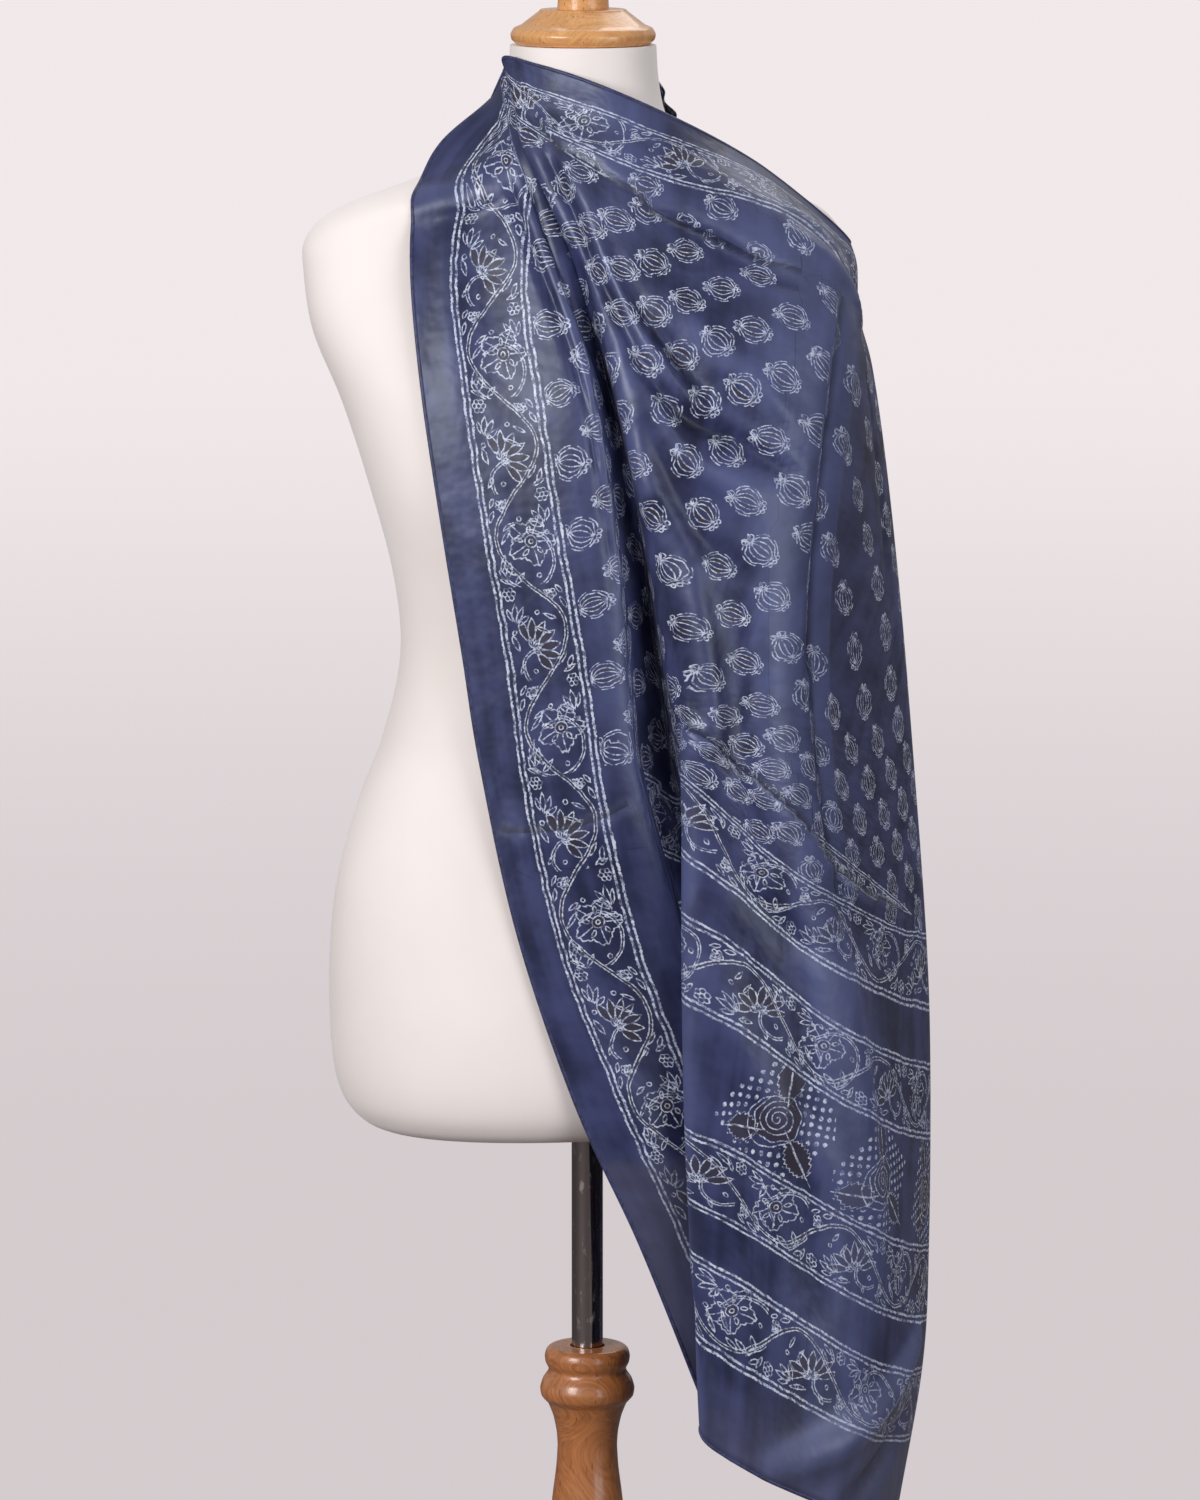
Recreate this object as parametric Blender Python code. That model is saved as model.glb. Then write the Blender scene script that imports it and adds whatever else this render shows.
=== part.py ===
"""A printed silk stole draped over the shoulder of a limbless dress form on a turned wooden stand.

Metres, +Z up. The origin is the middle of the stand's base, where it rests on the floor; the
form's own front looks along -Y, turned a little towards +X. The stole is one cloth, made here as
the four stretches that show: the short roll round the nape, the left fall with the free side
edge, the front fall that laps over it, and the back fall behind the shoulder.
"""
import math

import bmesh
import bpy
from mathutils import Vector
from mathutils.bvhtree import BVHTree

MM = 0.001
SEAM_GAP = 0.3 * MM

# ---- sizes of the form and its stand ------------------------------------------------------------
FORM_TURN = math.radians(13.0)      # how far the form's front is turned towards +X
FORM_SIDES = 36                     # flats round each section of the form
FORM_ROUNDNESS = 2.25               # 2 is an ellipse, more is squarer
NECK_TOP = 1541 * MM
NECK_SET_BACK = 12 * MM
NECK_LINE = (-NECK_SET_BACK * math.sin(FORM_TURN), NECK_SET_BACK * math.cos(FORM_TURN))
FORM_BOTTOM = 774 * MM

# Sections of the form from the neck down, in mm: height above the floor, half width, half depth
# and how far the middle of the section sits behind the pole.
FORM_SECTIONS = [
    # height, half_width, half_depth, set_back
    (1541, 50.5, 51, 12),
    (1518, 52, 53, 12),
    (1496, 56, 58, 12),
    (1478, 66, 64, 14),
    (1462, 88, 69, 18),
    (1448, 115, 72, 24),
    (1439, 140, 73, 29),
    (1430, 163, 72, 34),
    (1419, 182, 70, 38),
    (1404, 193, 72, 40),
    (1384, 194, 79, 38),
    (1342, 189, 93, 28),
    (1293, 171, 102, 13),
    (1236, 154, 106, 3),
    (1172, 137, 99, 2),
    (1115, 132, 92, 2),
    (1058, 144, 96, 4),
    (1008, 162, 105, 8),
    (950, 177, 113, 10),
    (892, 182, 117, 12),
    (834, 181, 116, 12),
    (802, 175, 111, 12),
    (785, 164, 101, 12),
    (777, 150, 88, 12),
    (774, 132, 72, 12),
]
SECTIONS_BETWEEN = 1                # extra rings worked out between two rows above

POLE_RADIUS = 11.2 * MM
POLE_FOOT = 585 * MM
COLUMN_BORE = 12.4 * MM
TURNED_SIDES = 32                   # flats round each turned piece
MERGED = 0.01 * MM                  # points closer than this are one

# Turned outlines in mm, from the top down: radius and height.
CAP_OUTLINE = [
    # radius, height above the neck
    (0, 62), (9, 61), (15, 57.5), (18, 52), (18.4, 46), (17.6, 36), (18.2, 24.5), (29.5, 24.5),
    (31, 23.2), (43, 14), (44.5, 13.2), (48.5, 11.4), (50.8, 7.5), (50.2, 3.6), (47.5, 0.9), (45, 0),
]
COLUMN_OUTLINE = [
    # radius, height above the floor
    (26, 611), (29.3, 608.5), (30.6, 604), (30.0, 599.5), (27.8, 595), (28.6, 592),
    (32.0, 587), (33.9, 580.5), (33.0, 575), (29.0, 570.5), (28.0, 569), (24.5, 560),
    (22.2, 549), (21.4, 538), (22.4, 522), (25.2, 500), (29.0, 462), (31.6, 420), (31.8, 380),
    (29.6, 335), (25.2, 285), (21.0, 235), (19.0, 195), (19.4, 170), (23.5, 158), (29.5, 153),
    (31.5, 147), (29.5, 141), (24.5, 137), (25.5, 120), (30.5, 95), (38.0, 68), (46.0, 50),
    (50.0, 42), (50.0, 34),
]
BASE_OUTLINE = [
    # radius, height above the floor
    (62, 33.7), (66, 32), (72, 27.5), (110, 24.5), (150, 22), (163, 20), (172, 15), (175, 9),
    (173, 3), (170, 0),
]

# ---- sizes of the stole --------------------------------------------------------------------------
CLOTH = 1.2 * MM                    # wall that stands for the silk
REST_GAP = 0.9 * MM                 # clear of the form where the cloth rests on it
REST_ROUNDS = 4                     # passes that lift the points between the grid's corners
ROW_STEPS = 4                       # steps from one level to the next
COLUMN_STEPS = 3                    # steps from one fold line to the next
NEARBY = 0.01                       # step in levels or columns for reading a slope

# The stole's fold lines at each level, as (x, y, z) in mm and in this order. A level follows the
# print: it runs along the top edge, then in step with the cross bands, and last along the hem.
FOLD_LINES = ("side_edge", "border", "left_ridge", "valley", "front_fold", "middle", "crease",
              "side")
LEVELS = [
    # side_edge          border             left_ridge         valley
    # front_fold         middle             crease             side
    ("top_edge", (-66, 26, 1502), (-64, 16, 1507), (-61, 6, 1513), (-58, -6, 1519),
     (-55, -17, 1530), (27, -58, 1510), (115, 0, 1458), (183, 62, 1400)),
    ("neck", (-92, 0, 1475), (-68, -20, 1469), (-52, -36, 1474), (-43, -36, 1478),
     (-34, -48, 1481), (37, -76, 1460), (138, -35, 1426), (185, 60, 1380)),
    ("collar", (-122, -30, 1432), (-74, -52, 1423), (-38, -66, 1435), (-26, -58, 1434),
     (-14, -74, 1439), (47, -90, 1399), (163, -50, 1387), (191, 54, 1351)),
    ("chest", (-122, -62, 1390), (-69, -78, 1370), (-18, -92, 1378), (-4, -74, 1376),
     (8, -98, 1378), (59, -108, 1338), (167, -76, 1339), (200, 46, 1313)),
    ("bust", (-115, -90, 1316), (-62, -104, 1303), (2, -116, 1304), (17, -86, 1301),
     (25, -122, 1305), (71, -126, 1257), (158, -100, 1261), (209, 38, 1242)),
    ("under_bust", (-101, -106, 1221), (-51, -118, 1208), (16, -126, 1208), (36, -90, 1204),
     (44, -134, 1209), (83, -136, 1161), (149, -114, 1166), (218, 30, 1147)),
    ("waist", (-86, -110, 1127), (-41, -120, 1118), (24, -127, 1112), (50, -86, 1106),
     (61, -137, 1106), (93, -139, 1071), (149, -118, 1083), (226, 26, 1050)),
    ("band_1", (-74, -112, 1050), (-28, -120, 1034), (33, -125, 1038), (64, -84, 1021),
     (68, -138, 1061), (104, -140, 1032), (150, -120, 992), (237, 22, 911)),
    ("band_2", (-48, -116, 930), (2, -118, 914), (61, -114, 927), (99, -100, 930),
     (69, -136, 958), (107, -139, 932), (154, -120, 886), (242, 20, 814)),
    ("band_3", (-8, -116, 810), (41, -114, 807), (79, -106, 805), (117, -106, 802),
     (70, -132, 802), (108, -136, 781), (159, -118, 749), (247, 20, 680)),
    ("band_4", (37, -110, 709), (72, -106, 705), (92, -102, 704), (123, -104, 702),
     (72, -127, 712), (112, -132, 687), (165, -115, 650), (243, 18, 590)),
    ("hem", (84, -102, 588), (91, -100, 594), (101, -98, 602), (123, -100, 614),
     (79, -121, 580), (116, -127, 550), (171, -109, 525), (226, 10, 485)),
]

# The back fall at the same levels, in mm: how far its rear edge lies in from the side, how far
# behind it, and how far its rear edge hangs lower (or higher, below 0).
BACK_FALL = [
    # level, rear_edge_in, rear_edge_behind, rear_edge_lower
    ("top_edge", 62, 52, 26),
    ("neck", 78, 58, 40),
    ("collar", 92, 62, 44),
    ("chest", 106, 66, 46),
    ("bust", 118, 76, 44),
    ("under_bust", 128, 88, 38),
    ("waist", 136, 96, 30),
    ("band_1", 142, 100, 20),
    ("band_2", 144, 102, 8),
    ("band_3", 142, 100, -6),
    ("band_4", 132, 94, -24),
    ("hem", 116, 88, -44),
]
# The way from the side to the rear edge, as shares of the three distances above.
BACK_ROUTE = [
    # inward, behind, lower
    (0.06, 0.45, 0.20),
    (0.42, 0.90, 0.60),
    (1.00, 1.00, 1.00),
]
BACK_PLEATS = 2                     # soft pleats across the back fall
BACK_PLEAT_DEPTH = 7 * MM
BACK_PLEATS_FULL = 3                # level from which they have their full depth

# Columns count the fold lines above from 0, and then the points of the back's way.
LAP_STEP = 5                        # step across where the left fall meets the front fall
SIDE = FOLD_LINES.index("side")     # column where the front fall meets the back fall
REAR = SIDE + len(BACK_ROUTE)       # column of the rear edge

# Creases that run out from the neck and the shoulder, as ridges (+) and troughs (-).
CREASES = [
    # start level, column, end level, column, height in mm, half width in columns
    (0.2, 4.6, 4.5, 5.2, 4.0, 0.30),
    (0.3, 4.9, 3.6, 6.2, -4.0, 0.30),
    (0.2, 2.5, 5.0, 1.5, 4.0, 0.35),
    (1.0, 6.0, 6.5, 6.1, 4.0, 0.35),
    (5.5, 5.6, 8.5, 6.9, 3.0, 0.30),
    (9.6, 6.8, 11.0, 5.4, 6.0, 0.40),
]

# The roll round the nape: bearing about the neck, radius and height of its two long edges in mm.
NAPE_ROLL = [
    # bearing, upper_radius, upper_height, lower_radius, lower_height
    (164, 54, 1526, 65, 1494),
    (142, 54, 1527, 67, 1489),
    (115, 55, 1528, 72, 1482),
    (90, 56, 1527, 76, 1478),
    (62, 57, 1524, 78, 1476),
    (38, 57, 1520, 78, 1476),
    (16, 54, 1512, 72, 1480),
]
NAPE_PLEATS = 2
NAPE_COLUMNS = 6                    # steps from the upper edge to the lower edge
NAPE_STEPS = 3                      # steps from one bearing to the next
NAPE_PLEAT_DEPTH = 2.4 * MM


# ---- shared ways of making shapes ---------------------------------------------------------------
def material(name, colour, roughness, metallic=0.0):
    """A plain finish: base colour, roughness and metal."""
    finish = bpy.data.materials.new(name)
    finish.use_nodes = True
    shader = finish.node_tree.nodes["Principled BSDF"]
    shader.inputs["Base Color"].default_value = (*colour, 1.0)
    shader.inputs["Roughness"].default_value = roughness
    shader.inputs["Metallic"].default_value = metallic
    finish.diffuse_color = (*colour, 1.0)
    return finish


def add_object(name, work, finish, sharp_angle=math.radians(40)):
    """Turn a bmesh into a smooth-shaded object of this name."""
    bmesh.ops.recalc_face_normals(work, faces=work.faces)
    mesh = bpy.data.meshes.new(name)
    work.to_mesh(mesh)
    work.free()
    mesh.shade_smooth()
    mesh.set_sharp_from_angle(angle=sharp_angle)
    mesh.materials.append(finish)
    piece = bpy.data.objects.new(name, mesh)
    bpy.context.scene.collection.objects.link(piece)
    return piece


def between(rows, place):
    """The smooth curve through a list of vectors, read at a place from 0 to its last index."""
    index = min(int(place), len(rows) - 2)
    along = place - index
    start, end = rows[index], rows[index + 1]
    before = rows[index - 1] if index > 0 else start * 2 - end
    after = rows[index + 2] if index + 2 < len(rows) else end * 2 - start
    leave, arrive = (end - before) / 2, (after - start) / 2
    square, cube = along * along, along * along * along
    return (start * (2 * cube - 3 * square + 1) + leave * (cube - 2 * square + along)
            + end * (3 * square - 2 * cube) + arrive * (cube - square))


def skin_rings(work, rings, closed_ends=True):
    """Join rings of points into a tube, with a face on each end."""
    loops = [[work.verts.new(point) for point in ring] for ring in rings]
    for upper, lower in zip(loops, loops[1:]):
        for side in range(len(upper)):
            following = (side + 1) % len(upper)
            work.faces.new((upper[side], upper[following], lower[following], lower[side]))
    if closed_ends:
        work.faces.new(loops[0])
        work.faces.new(reversed(loops[-1]))


def turned(name, outline, finish, foot=0.0, bore=None, line=(0.0, 0.0)):
    """A turned piece: an outline of (radius, height) in mm, spun round an upright line."""
    points = [Vector((radius * MM, 0, foot + height * MM)) for radius, height in outline]
    if bore:
        bore_radius, bore_foot = bore
        points.insert(0, Vector((bore_radius, 0, points[0].z)))
        points.insert(0, Vector((bore_radius, 0, bore_foot)))
        points.insert(0, Vector((0, 0, bore_foot)))
    elif points[0].x > 0:
        points.insert(0, Vector((0, 0, points[0].z)))
    points.append(Vector((0, 0, points[-1].z)))
    work = bmesh.new()
    loop = [work.verts.new(point) for point in points]
    edges = [work.edges.new(pair) for pair in zip(loop, loop[1:])]
    bmesh.ops.spin(work, geom=loop + edges, axis=(0, 0, 1), cent=(0, 0, 0), steps=TURNED_SIDES,
                   angle=math.tau, use_merge=True)
    bmesh.ops.remove_doubles(work, verts=work.verts, dist=MERGED)
    bmesh.ops.translate(work, verts=work.verts, vec=(*line, 0))
    return add_object(name, work, finish)


# ---- the form -----------------------------------------------------------------------------------
def turn_with_form(x, y):
    """A place given in the form's own frame, turned with the form."""
    cosine, sine = math.cos(FORM_TURN), math.sin(FORM_TURN)
    return x * cosine - y * sine, x * sine + y * cosine


def form_ring(height, half_width, half_depth, set_back):
    """One level section of the form, a rounded oval turned with the form."""
    ring = []
    for side in range(FORM_SIDES):
        angle = math.tau * side / FORM_SIDES
        across, along = math.cos(angle), math.sin(angle)
        x = half_width * math.copysign(abs(across) ** (2 / FORM_ROUNDNESS), across)
        y = half_depth * math.copysign(abs(along) ** (2 / FORM_ROUNDNESS), along) + set_back
        ring.append(Vector((*turn_with_form(x, y), height)) * MM)
    return ring


def make_form():
    """The covered torso: sections from the neck to the flat underside."""
    rows = [Vector(row) for row in FORM_SECTIONS]
    steps = (len(rows) - 1) * (SECTIONS_BETWEEN + 1)
    rings = [form_ring(*between(rows, step / (SECTIONS_BETWEEN + 1))) for step in range(steps + 1)]
    work = bmesh.new()
    skin_rings(work, rings)
    return add_object("torso", work, material("cotton_jersey", (0.87, 0.82, 0.78), 0.85))


def make_stand():
    """The neck cap, pole, turned column and base, stacked on the pole's line."""
    pale_wood = material("pale_turned_wood", (0.66, 0.38, 0.15), 0.35)
    wood = material("turned_wood", (0.5, 0.25, 0.1), 0.35)
    steel = material("steel", (0.32, 0.28, 0.26), 0.28, metallic=1.0)
    turned("neck_cap", CAP_OUTLINE, pale_wood, foot=NECK_TOP + SEAM_GAP, line=NECK_LINE)
    pole_outline = [
        (POLE_RADIUS / MM, (FORM_BOTTOM - SEAM_GAP) / MM),
        (POLE_RADIUS / MM, POLE_FOOT / MM),
    ]
    turned("pole", pole_outline, steel)
    turned("stand_column", COLUMN_OUTLINE, wood, bore=(COLUMN_BORE, POLE_FOOT - SEAM_GAP))
    turned("stand_base", BASE_OUTLINE, wood)


# ---- the stole ----------------------------------------------------------------------------------
def stole_sections():
    """Every level as one row of points, from the side edge round to the rear edge."""
    sections = []
    for (_, *front), (_, inward, behind, lower) in zip(LEVELS, BACK_FALL):
        side = Vector(front[-1])
        rear = [side + Vector((-inward * across, behind * along, -lower * down))
                for across, along, down in BACK_ROUTE]
        sections.append([Vector(point) * MM for point in front] + [point * MM for point in rear])
    return sections


def stole_point(sections, level, column):
    """The middle of the cloth at a level and column, before creases and resting."""
    along_row = [between(row, column) for row in sections]
    return between(along_row, level)


def crease_depth(level, column):
    """How far the creases push the cloth outwards at a level and column."""
    depth = 0.0
    for start_level, start_column, end_level, end_column, height, width in CREASES:
        along = (level - start_level) / (end_level - start_level)
        if 0 <= along <= 1:
            away = (column - start_column - along * (end_column - start_column)) / width
            depth += height * MM * math.exp(-away * away) * math.sqrt(math.sin(math.pi * along))
    if column > SIDE:
        across = (column - SIDE) / (REAR - SIDE)
        fade = min(1.0, level / BACK_PLEATS_FULL)
        depth += BACK_PLEAT_DEPTH * fade * across * math.sin(math.tau * BACK_PLEATS * across)
    return depth


def way_out(form, point, gap):
    """The move that takes a point out of the form, to a gap from its surface."""
    nearest, normal, _, _ = form.find_nearest(point)
    height = (point - nearest).dot(normal)
    return normal * max(0.0, gap - height)


def rest_on(form, grid):
    """Lay a grid of points on the form: its points first, then the middles between them."""
    gap = REST_GAP + CLOTH / 2
    for line in grid:
        for point in line:
            point += way_out(form, point, gap)
    for _ in range(REST_ROUNDS):
        for upper, lower in zip(grid, grid[1:]):
            for column in range(len(upper) - 1):
                corners = [upper[column], upper[column + 1], lower[column], lower[column + 1]]
                for first, second in ((0, 3), (1, 2), (0, 1), (0, 2)):
                    middle = (corners[first] + corners[second]) / 2
                    move = way_out(form, middle, gap)
                    corners[first] += move
                    corners[second] += move


def with_normals(grid):
    """Each row of points with its outward normals, read from the neighbouring points."""
    rows, columns = len(grid), len(grid[0])
    faced = []
    for row in range(rows):
        line = []
        for column in range(columns):
            down = grid[min(row + 1, rows - 1)][column] - grid[max(row - 1, 0)][column]
            across = grid[row][min(column + 1, columns - 1)] - grid[row][max(column - 1, 0)]
            line.append((grid[row][column], down.cross(across).normalized()))
        faced.append(line)
    return faced


def wall(name, faced, finish):
    """A closed cloth wall round a grid of middle points with their normals, row by row."""
    rows, columns = len(faced), len(faced[0])
    work = bmesh.new()
    for side in (+1, -1):
        sheet = [[work.verts.new(point + normal * (side * CLOTH / 2)) for point, normal in line]
                 for line in faced]
        for row in range(rows - 1):
            for column in range(columns - 1):
                corners = (sheet[row][column], sheet[row + 1][column],
                           sheet[row + 1][column + 1], sheet[row][column + 1])
                work.faces.new(corners if side > 0 else corners[::-1])
    rims = [edge for edge in work.edges if edge.is_boundary]
    bmesh.ops.bridge_loops(work, edges=rims)
    return add_object(name, work, finish)


def stole_grid(form):
    """The whole stole as rows of middle points with normals, lying on the form where it meets it."""
    sections = stole_sections()
    last_level = len(sections) - 1
    grid = []
    for row in range(last_level * ROW_STEPS + 1):
        level = row / ROW_STEPS
        line = []
        for step in range(REAR * COLUMN_STEPS + 1):
            column = step / COLUMN_STEPS
            point = stole_point(sections, level, column)
            ahead = stole_point(sections, level, min(column + NEARBY, REAR))
            behind = stole_point(sections, level, max(column - NEARBY, 0))
            below = stole_point(sections, min(level + NEARBY, last_level), column)
            above = stole_point(sections, max(level - NEARBY, 0), column)
            outwards = (below - above).cross(ahead - behind).normalized()
            line.append(point + outwards * crease_depth(level, column))
        grid.append(line)
    rest_on(form, grid)
    return with_normals(grid)


def stole_stretch(name, faced, first_step, last_step, finish):
    """One stretch of the stole, with half a seam gap left at each end that meets another."""
    lines = []
    for whole in faced:
        line = whole[first_step:last_step + 1]
        for end, neighbour, joined in ((0, 1, first_step > 0),
                                       (-1, -2, last_step < REAR * COLUMN_STEPS)):
            if joined:
                point, normal = line[end]
                inwards = (line[neighbour][0] - point).normalized()
                line[end] = (point + inwards * SEAM_GAP / 2, normal)
        lines.append(line)
    return wall(name, lines, finish)


def make_nape_roll(form, finish):
    """The short gathered roll that lies round the back of the neck."""
    upper_rows = [Vector(row[:3]) for row in NAPE_ROLL]
    lower_rows = [Vector((row[0], *row[3:])) for row in NAPE_ROLL]
    steps = (len(NAPE_ROLL) - 1) * NAPE_STEPS
    grid = []
    for step in range(steps + 1):
        upper = between(upper_rows, step / NAPE_STEPS)
        lower = between(lower_rows, step / NAPE_STEPS)
        line = []
        for place in range(NAPE_COLUMNS + 1):
            across = place / NAPE_COLUMNS
            bearing, radius, height = upper.lerp(lower, across)
            radius += NAPE_PLEAT_DEPTH / MM * math.sin(math.tau * NAPE_PLEATS * across)
            angle = math.radians(bearing)
            line.append(Vector((NECK_LINE[0] / MM + radius * math.cos(angle),
                                NECK_LINE[1] / MM + radius * math.sin(angle), height)) * MM)
        grid.append(line)
    rest_on(form, grid)
    return wall("stole_nape_roll", with_normals(grid), finish)


def make_stole(torso):
    """The four stretches of the stole, resting on the form."""
    form = BVHTree.FromPolygons([vertex.co for vertex in torso.data.vertices],
                                [face.vertices for face in torso.data.polygons])
    silk = material("indigo_silk", (0.05, 0.06, 0.16), 0.5)
    faced = stole_grid(form)
    stole_stretch("stole_left_fall", faced, 0, LAP_STEP, silk)
    stole_stretch("stole_front_fall", faced, LAP_STEP, SIDE * COLUMN_STEPS, silk)
    stole_stretch("stole_back_fall", faced, SIDE * COLUMN_STEPS, REAR * COLUMN_STEPS, silk)
    make_nape_roll(form, silk)


for old in list(bpy.data.objects):
    bpy.data.objects.remove(old)
make_stand()
make_stole(make_form())
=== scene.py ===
"""The looks of a printed silk stole on a limbless dress form with a turned wooden stand.

Metres, +Z up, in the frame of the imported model: the stand's foot rests on the floor at the origin
and the stole is seen from -Y. Each section below makes one piece, from the foot of the stand up to
the cloth, which comes last because it lies on all the rest.
"""
import math

import bmesh
import bpy
import numpy as np
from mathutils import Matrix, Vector
from mathutils.bvhtree import BVHTree


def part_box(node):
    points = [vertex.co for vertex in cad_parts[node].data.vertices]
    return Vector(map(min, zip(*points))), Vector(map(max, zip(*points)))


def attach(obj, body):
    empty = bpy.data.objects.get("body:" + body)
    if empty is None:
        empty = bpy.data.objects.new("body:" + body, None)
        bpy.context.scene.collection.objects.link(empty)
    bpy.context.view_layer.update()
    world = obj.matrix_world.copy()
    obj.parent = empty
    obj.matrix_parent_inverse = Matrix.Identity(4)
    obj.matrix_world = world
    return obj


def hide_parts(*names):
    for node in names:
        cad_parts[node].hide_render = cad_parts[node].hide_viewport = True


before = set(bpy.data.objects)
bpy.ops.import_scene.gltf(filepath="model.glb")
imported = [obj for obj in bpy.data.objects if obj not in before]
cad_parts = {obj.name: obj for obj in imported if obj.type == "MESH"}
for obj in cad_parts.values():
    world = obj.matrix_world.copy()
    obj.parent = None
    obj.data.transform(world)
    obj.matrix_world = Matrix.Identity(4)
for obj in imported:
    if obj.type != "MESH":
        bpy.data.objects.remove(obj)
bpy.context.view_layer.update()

# ---- stand base ----------------------------------------------------------------------------------
# The foot of the stand: a wide turned disc of wood under brown varnish, lying flat on the floor.
# The photograph ends above it, so it is finished plainly, with one bead and a rounded rim.
MM = 0.001
MERGE = 0.02 * MM
BASE_OUTLINE = [
    # radius, height in mm, from the seat of the column out to the rim and down
    (0, 33.7), (62, 33.7), (66, 32), (72, 27.5), (110, 24.5), (150, 22), (163, 20), (172, 15),
    (175, 9), (173, 3), (170, 0), (0, 0),
]


class Value:
    """An output of a node, number or vector, that takes the usual signs: each places a node."""

    def __init__(self, draft, socket):
        self.draft, self.socket = draft, socket

    def apply(self, operation, *others):
        return self.draft.work_out(self.socket.type == "VECTOR", operation, self, *others)

    def __add__(self, other):
        return self.apply("ADD", other)

    def __sub__(self, other):
        return self.apply("SUBTRACT", other)

    def __rsub__(self, other):
        return self.draft.work_out(False, "SUBTRACT", other, self)

    def __mul__(self, other):
        return self.apply("MULTIPLY", other)

    def __truediv__(self, other):
        return self.apply("DIVIDE", other)

    def __abs__(self):
        return self.apply("ABSOLUTE")


class Draft:
    """Places the nodes of one shader tree, whose last node takes what they work out."""

    def __init__(self, tree, last):
        self.tree, self.last = tree, last

    def feed(self, socket, value):
        if isinstance(value, Value):
            self.tree.links.new(value.socket, socket)
        else:
            socket.default_value = value

    def give(self, **values):
        """Feed the last node's sockets by their names in small letters, and return the tree."""
        for name, value in values.items():
            self.feed(self.last.inputs[name.replace("_", " ").title()], value)
        return self.tree

    def node(self, kind, feeds, **settings):
        node = self.tree.nodes.new(kind)
        for name, value in settings.items():
            setattr(node, name, value)
        for socket, value in feeds.items():
            self.feed(node.inputs[socket], value)
        return node

    def read(self, kind, output, feeds=None, **settings):
        return Value(self, self.node(kind, feeds or {}, **settings).outputs[output])

    def work_out(self, with_vectors, operation, *values):
        kind = "ShaderNodeVectorMath" if with_vectors else "ShaderNodeMath"
        to_vector = with_vectors and operation not in ("LENGTH", "DISTANCE", "DOT_PRODUCT")
        return self.read(kind, "Vector" if to_vector else "Value", dict(enumerate(values)),
                         operation=operation)

    def effect(self, tree, *values):
        """Place a node group, fed in the order of its inputs, and return all its outputs."""
        node = self.node("ShaderNodeGroup", {}, node_tree=tree)
        for socket, value in zip(node.inputs, values):
            self.feed(socket, value)
        return [Value(self, output) for output in node.outputs]

    def point(self, x, y, z=0.0):
        return self.read("ShaderNodeCombineXYZ", "Vector", {"X": x, "Y": y, "Z": z})

    def parts(self, vector):
        """The vector's x, y and z."""
        node = self.node("ShaderNodeSeparateXYZ", {"Vector": vector})
        return [Value(self, output) for output in node.outputs]

    def noise(self, vector, scale, detail=2.0, roughness=0.5):
        return self.read("ShaderNodeTexNoise", "Fac", {
            "Vector": vector, "Scale": scale, "Detail": detail, "Roughness": roughness})

    def ramp(self, value, start, end, low=0.0, high=1.0):
        """A value led smoothly from low to high as it passes from start to end."""
        feeds = {"Value": value, "From Min": start, "From Max": end, "To Min": low, "To Max": high}
        return self.read("ShaderNodeMapRange", 0, feeds, interpolation_type="SMOOTHSTEP")

    def choose(self, share, first, second):
        """A number between two others."""
        return self.read("ShaderNodeMix", 0, {0: share, 2: first, 3: second})

    def blend(self, share, first, second):
        """A colour between two others."""
        return self.read("ShaderNodeMix", 2, {0: share, 6: first, 7: second}, data_type="RGBA")

    def bump(self, height, strength, distance):
        return self.read("ShaderNodeBump", "Normal", {
            "Height": height, "Strength": strength, "Distance": distance})

    def place(self):
        return self.read("ShaderNodeTexCoord", "Object")


def new_finish(name, **constants):
    """A material, and the draft of its tree, which ends in the Principled shader."""
    finish = bpy.data.materials.new(name)
    finish.use_nodes = True
    draft = Draft(finish.node_tree, finish.node_tree.nodes["Principled BSDF"])
    draft.give(**constants)
    return finish, draft


VECTOR_INPUTS = ("Place", "Point", "Metric")


def new_effect(name, inputs, outputs):
    """The draft of a new node group, and the values that come into it."""
    tree = bpy.data.node_groups.new(name, "ShaderNodeTree")
    for names, way in ((inputs, "INPUT"), (outputs, "OUTPUT")):
        for socket in names:
            kind = "NodeSocketVector" if socket in VECTOR_INPUTS else "NodeSocketFloat"
            tree.interface.new_socket(name=socket, in_out=way, socket_type=kind)
    inlet = tree.nodes.new("NodeGroupInput").outputs
    draft = Draft(tree, tree.nodes.new("NodeGroupOutput"))
    return draft, [Value(draft, inlet[socket]) for socket in inputs]


def colour(red, green, blue):
    """A colour as seen on a screen, 0 to 255, in the linear values that shaders take."""
    parts = [part / 255 for part in (red, green, blue)]
    return (*[part / 12.92 if part <= 0.04045 else ((part + 0.055) / 1.055) ** 2.4
              for part in parts], 1.0)


def add_object(name, held):
    """A new object of the scene, for a mesh, a lamp or a camera."""
    made = bpy.data.objects.new(name, held)
    bpy.context.scene.collection.objects.link(made)
    return made


def add_mesh(name, work, finish):
    """Turn a bmesh into an object with one finish."""
    mesh = bpy.data.meshes.new(name)
    work.to_mesh(mesh)
    work.free()
    mesh.materials.append(finish)
    return add_object(name, mesh)


def add_piece(name, work, finish, slot, *replaced, smooth_under=40):
    """Turn a bmesh into a piece that stands for its solids and rides with them."""
    piece = add_mesh(name, work, finish)
    piece.data.shade_smooth()
    piece.data.set_sharp_from_angle(angle=math.radians(smooth_under))
    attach(piece, "root")
    if replaced:
        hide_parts(*replaced)
    return piece


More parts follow.
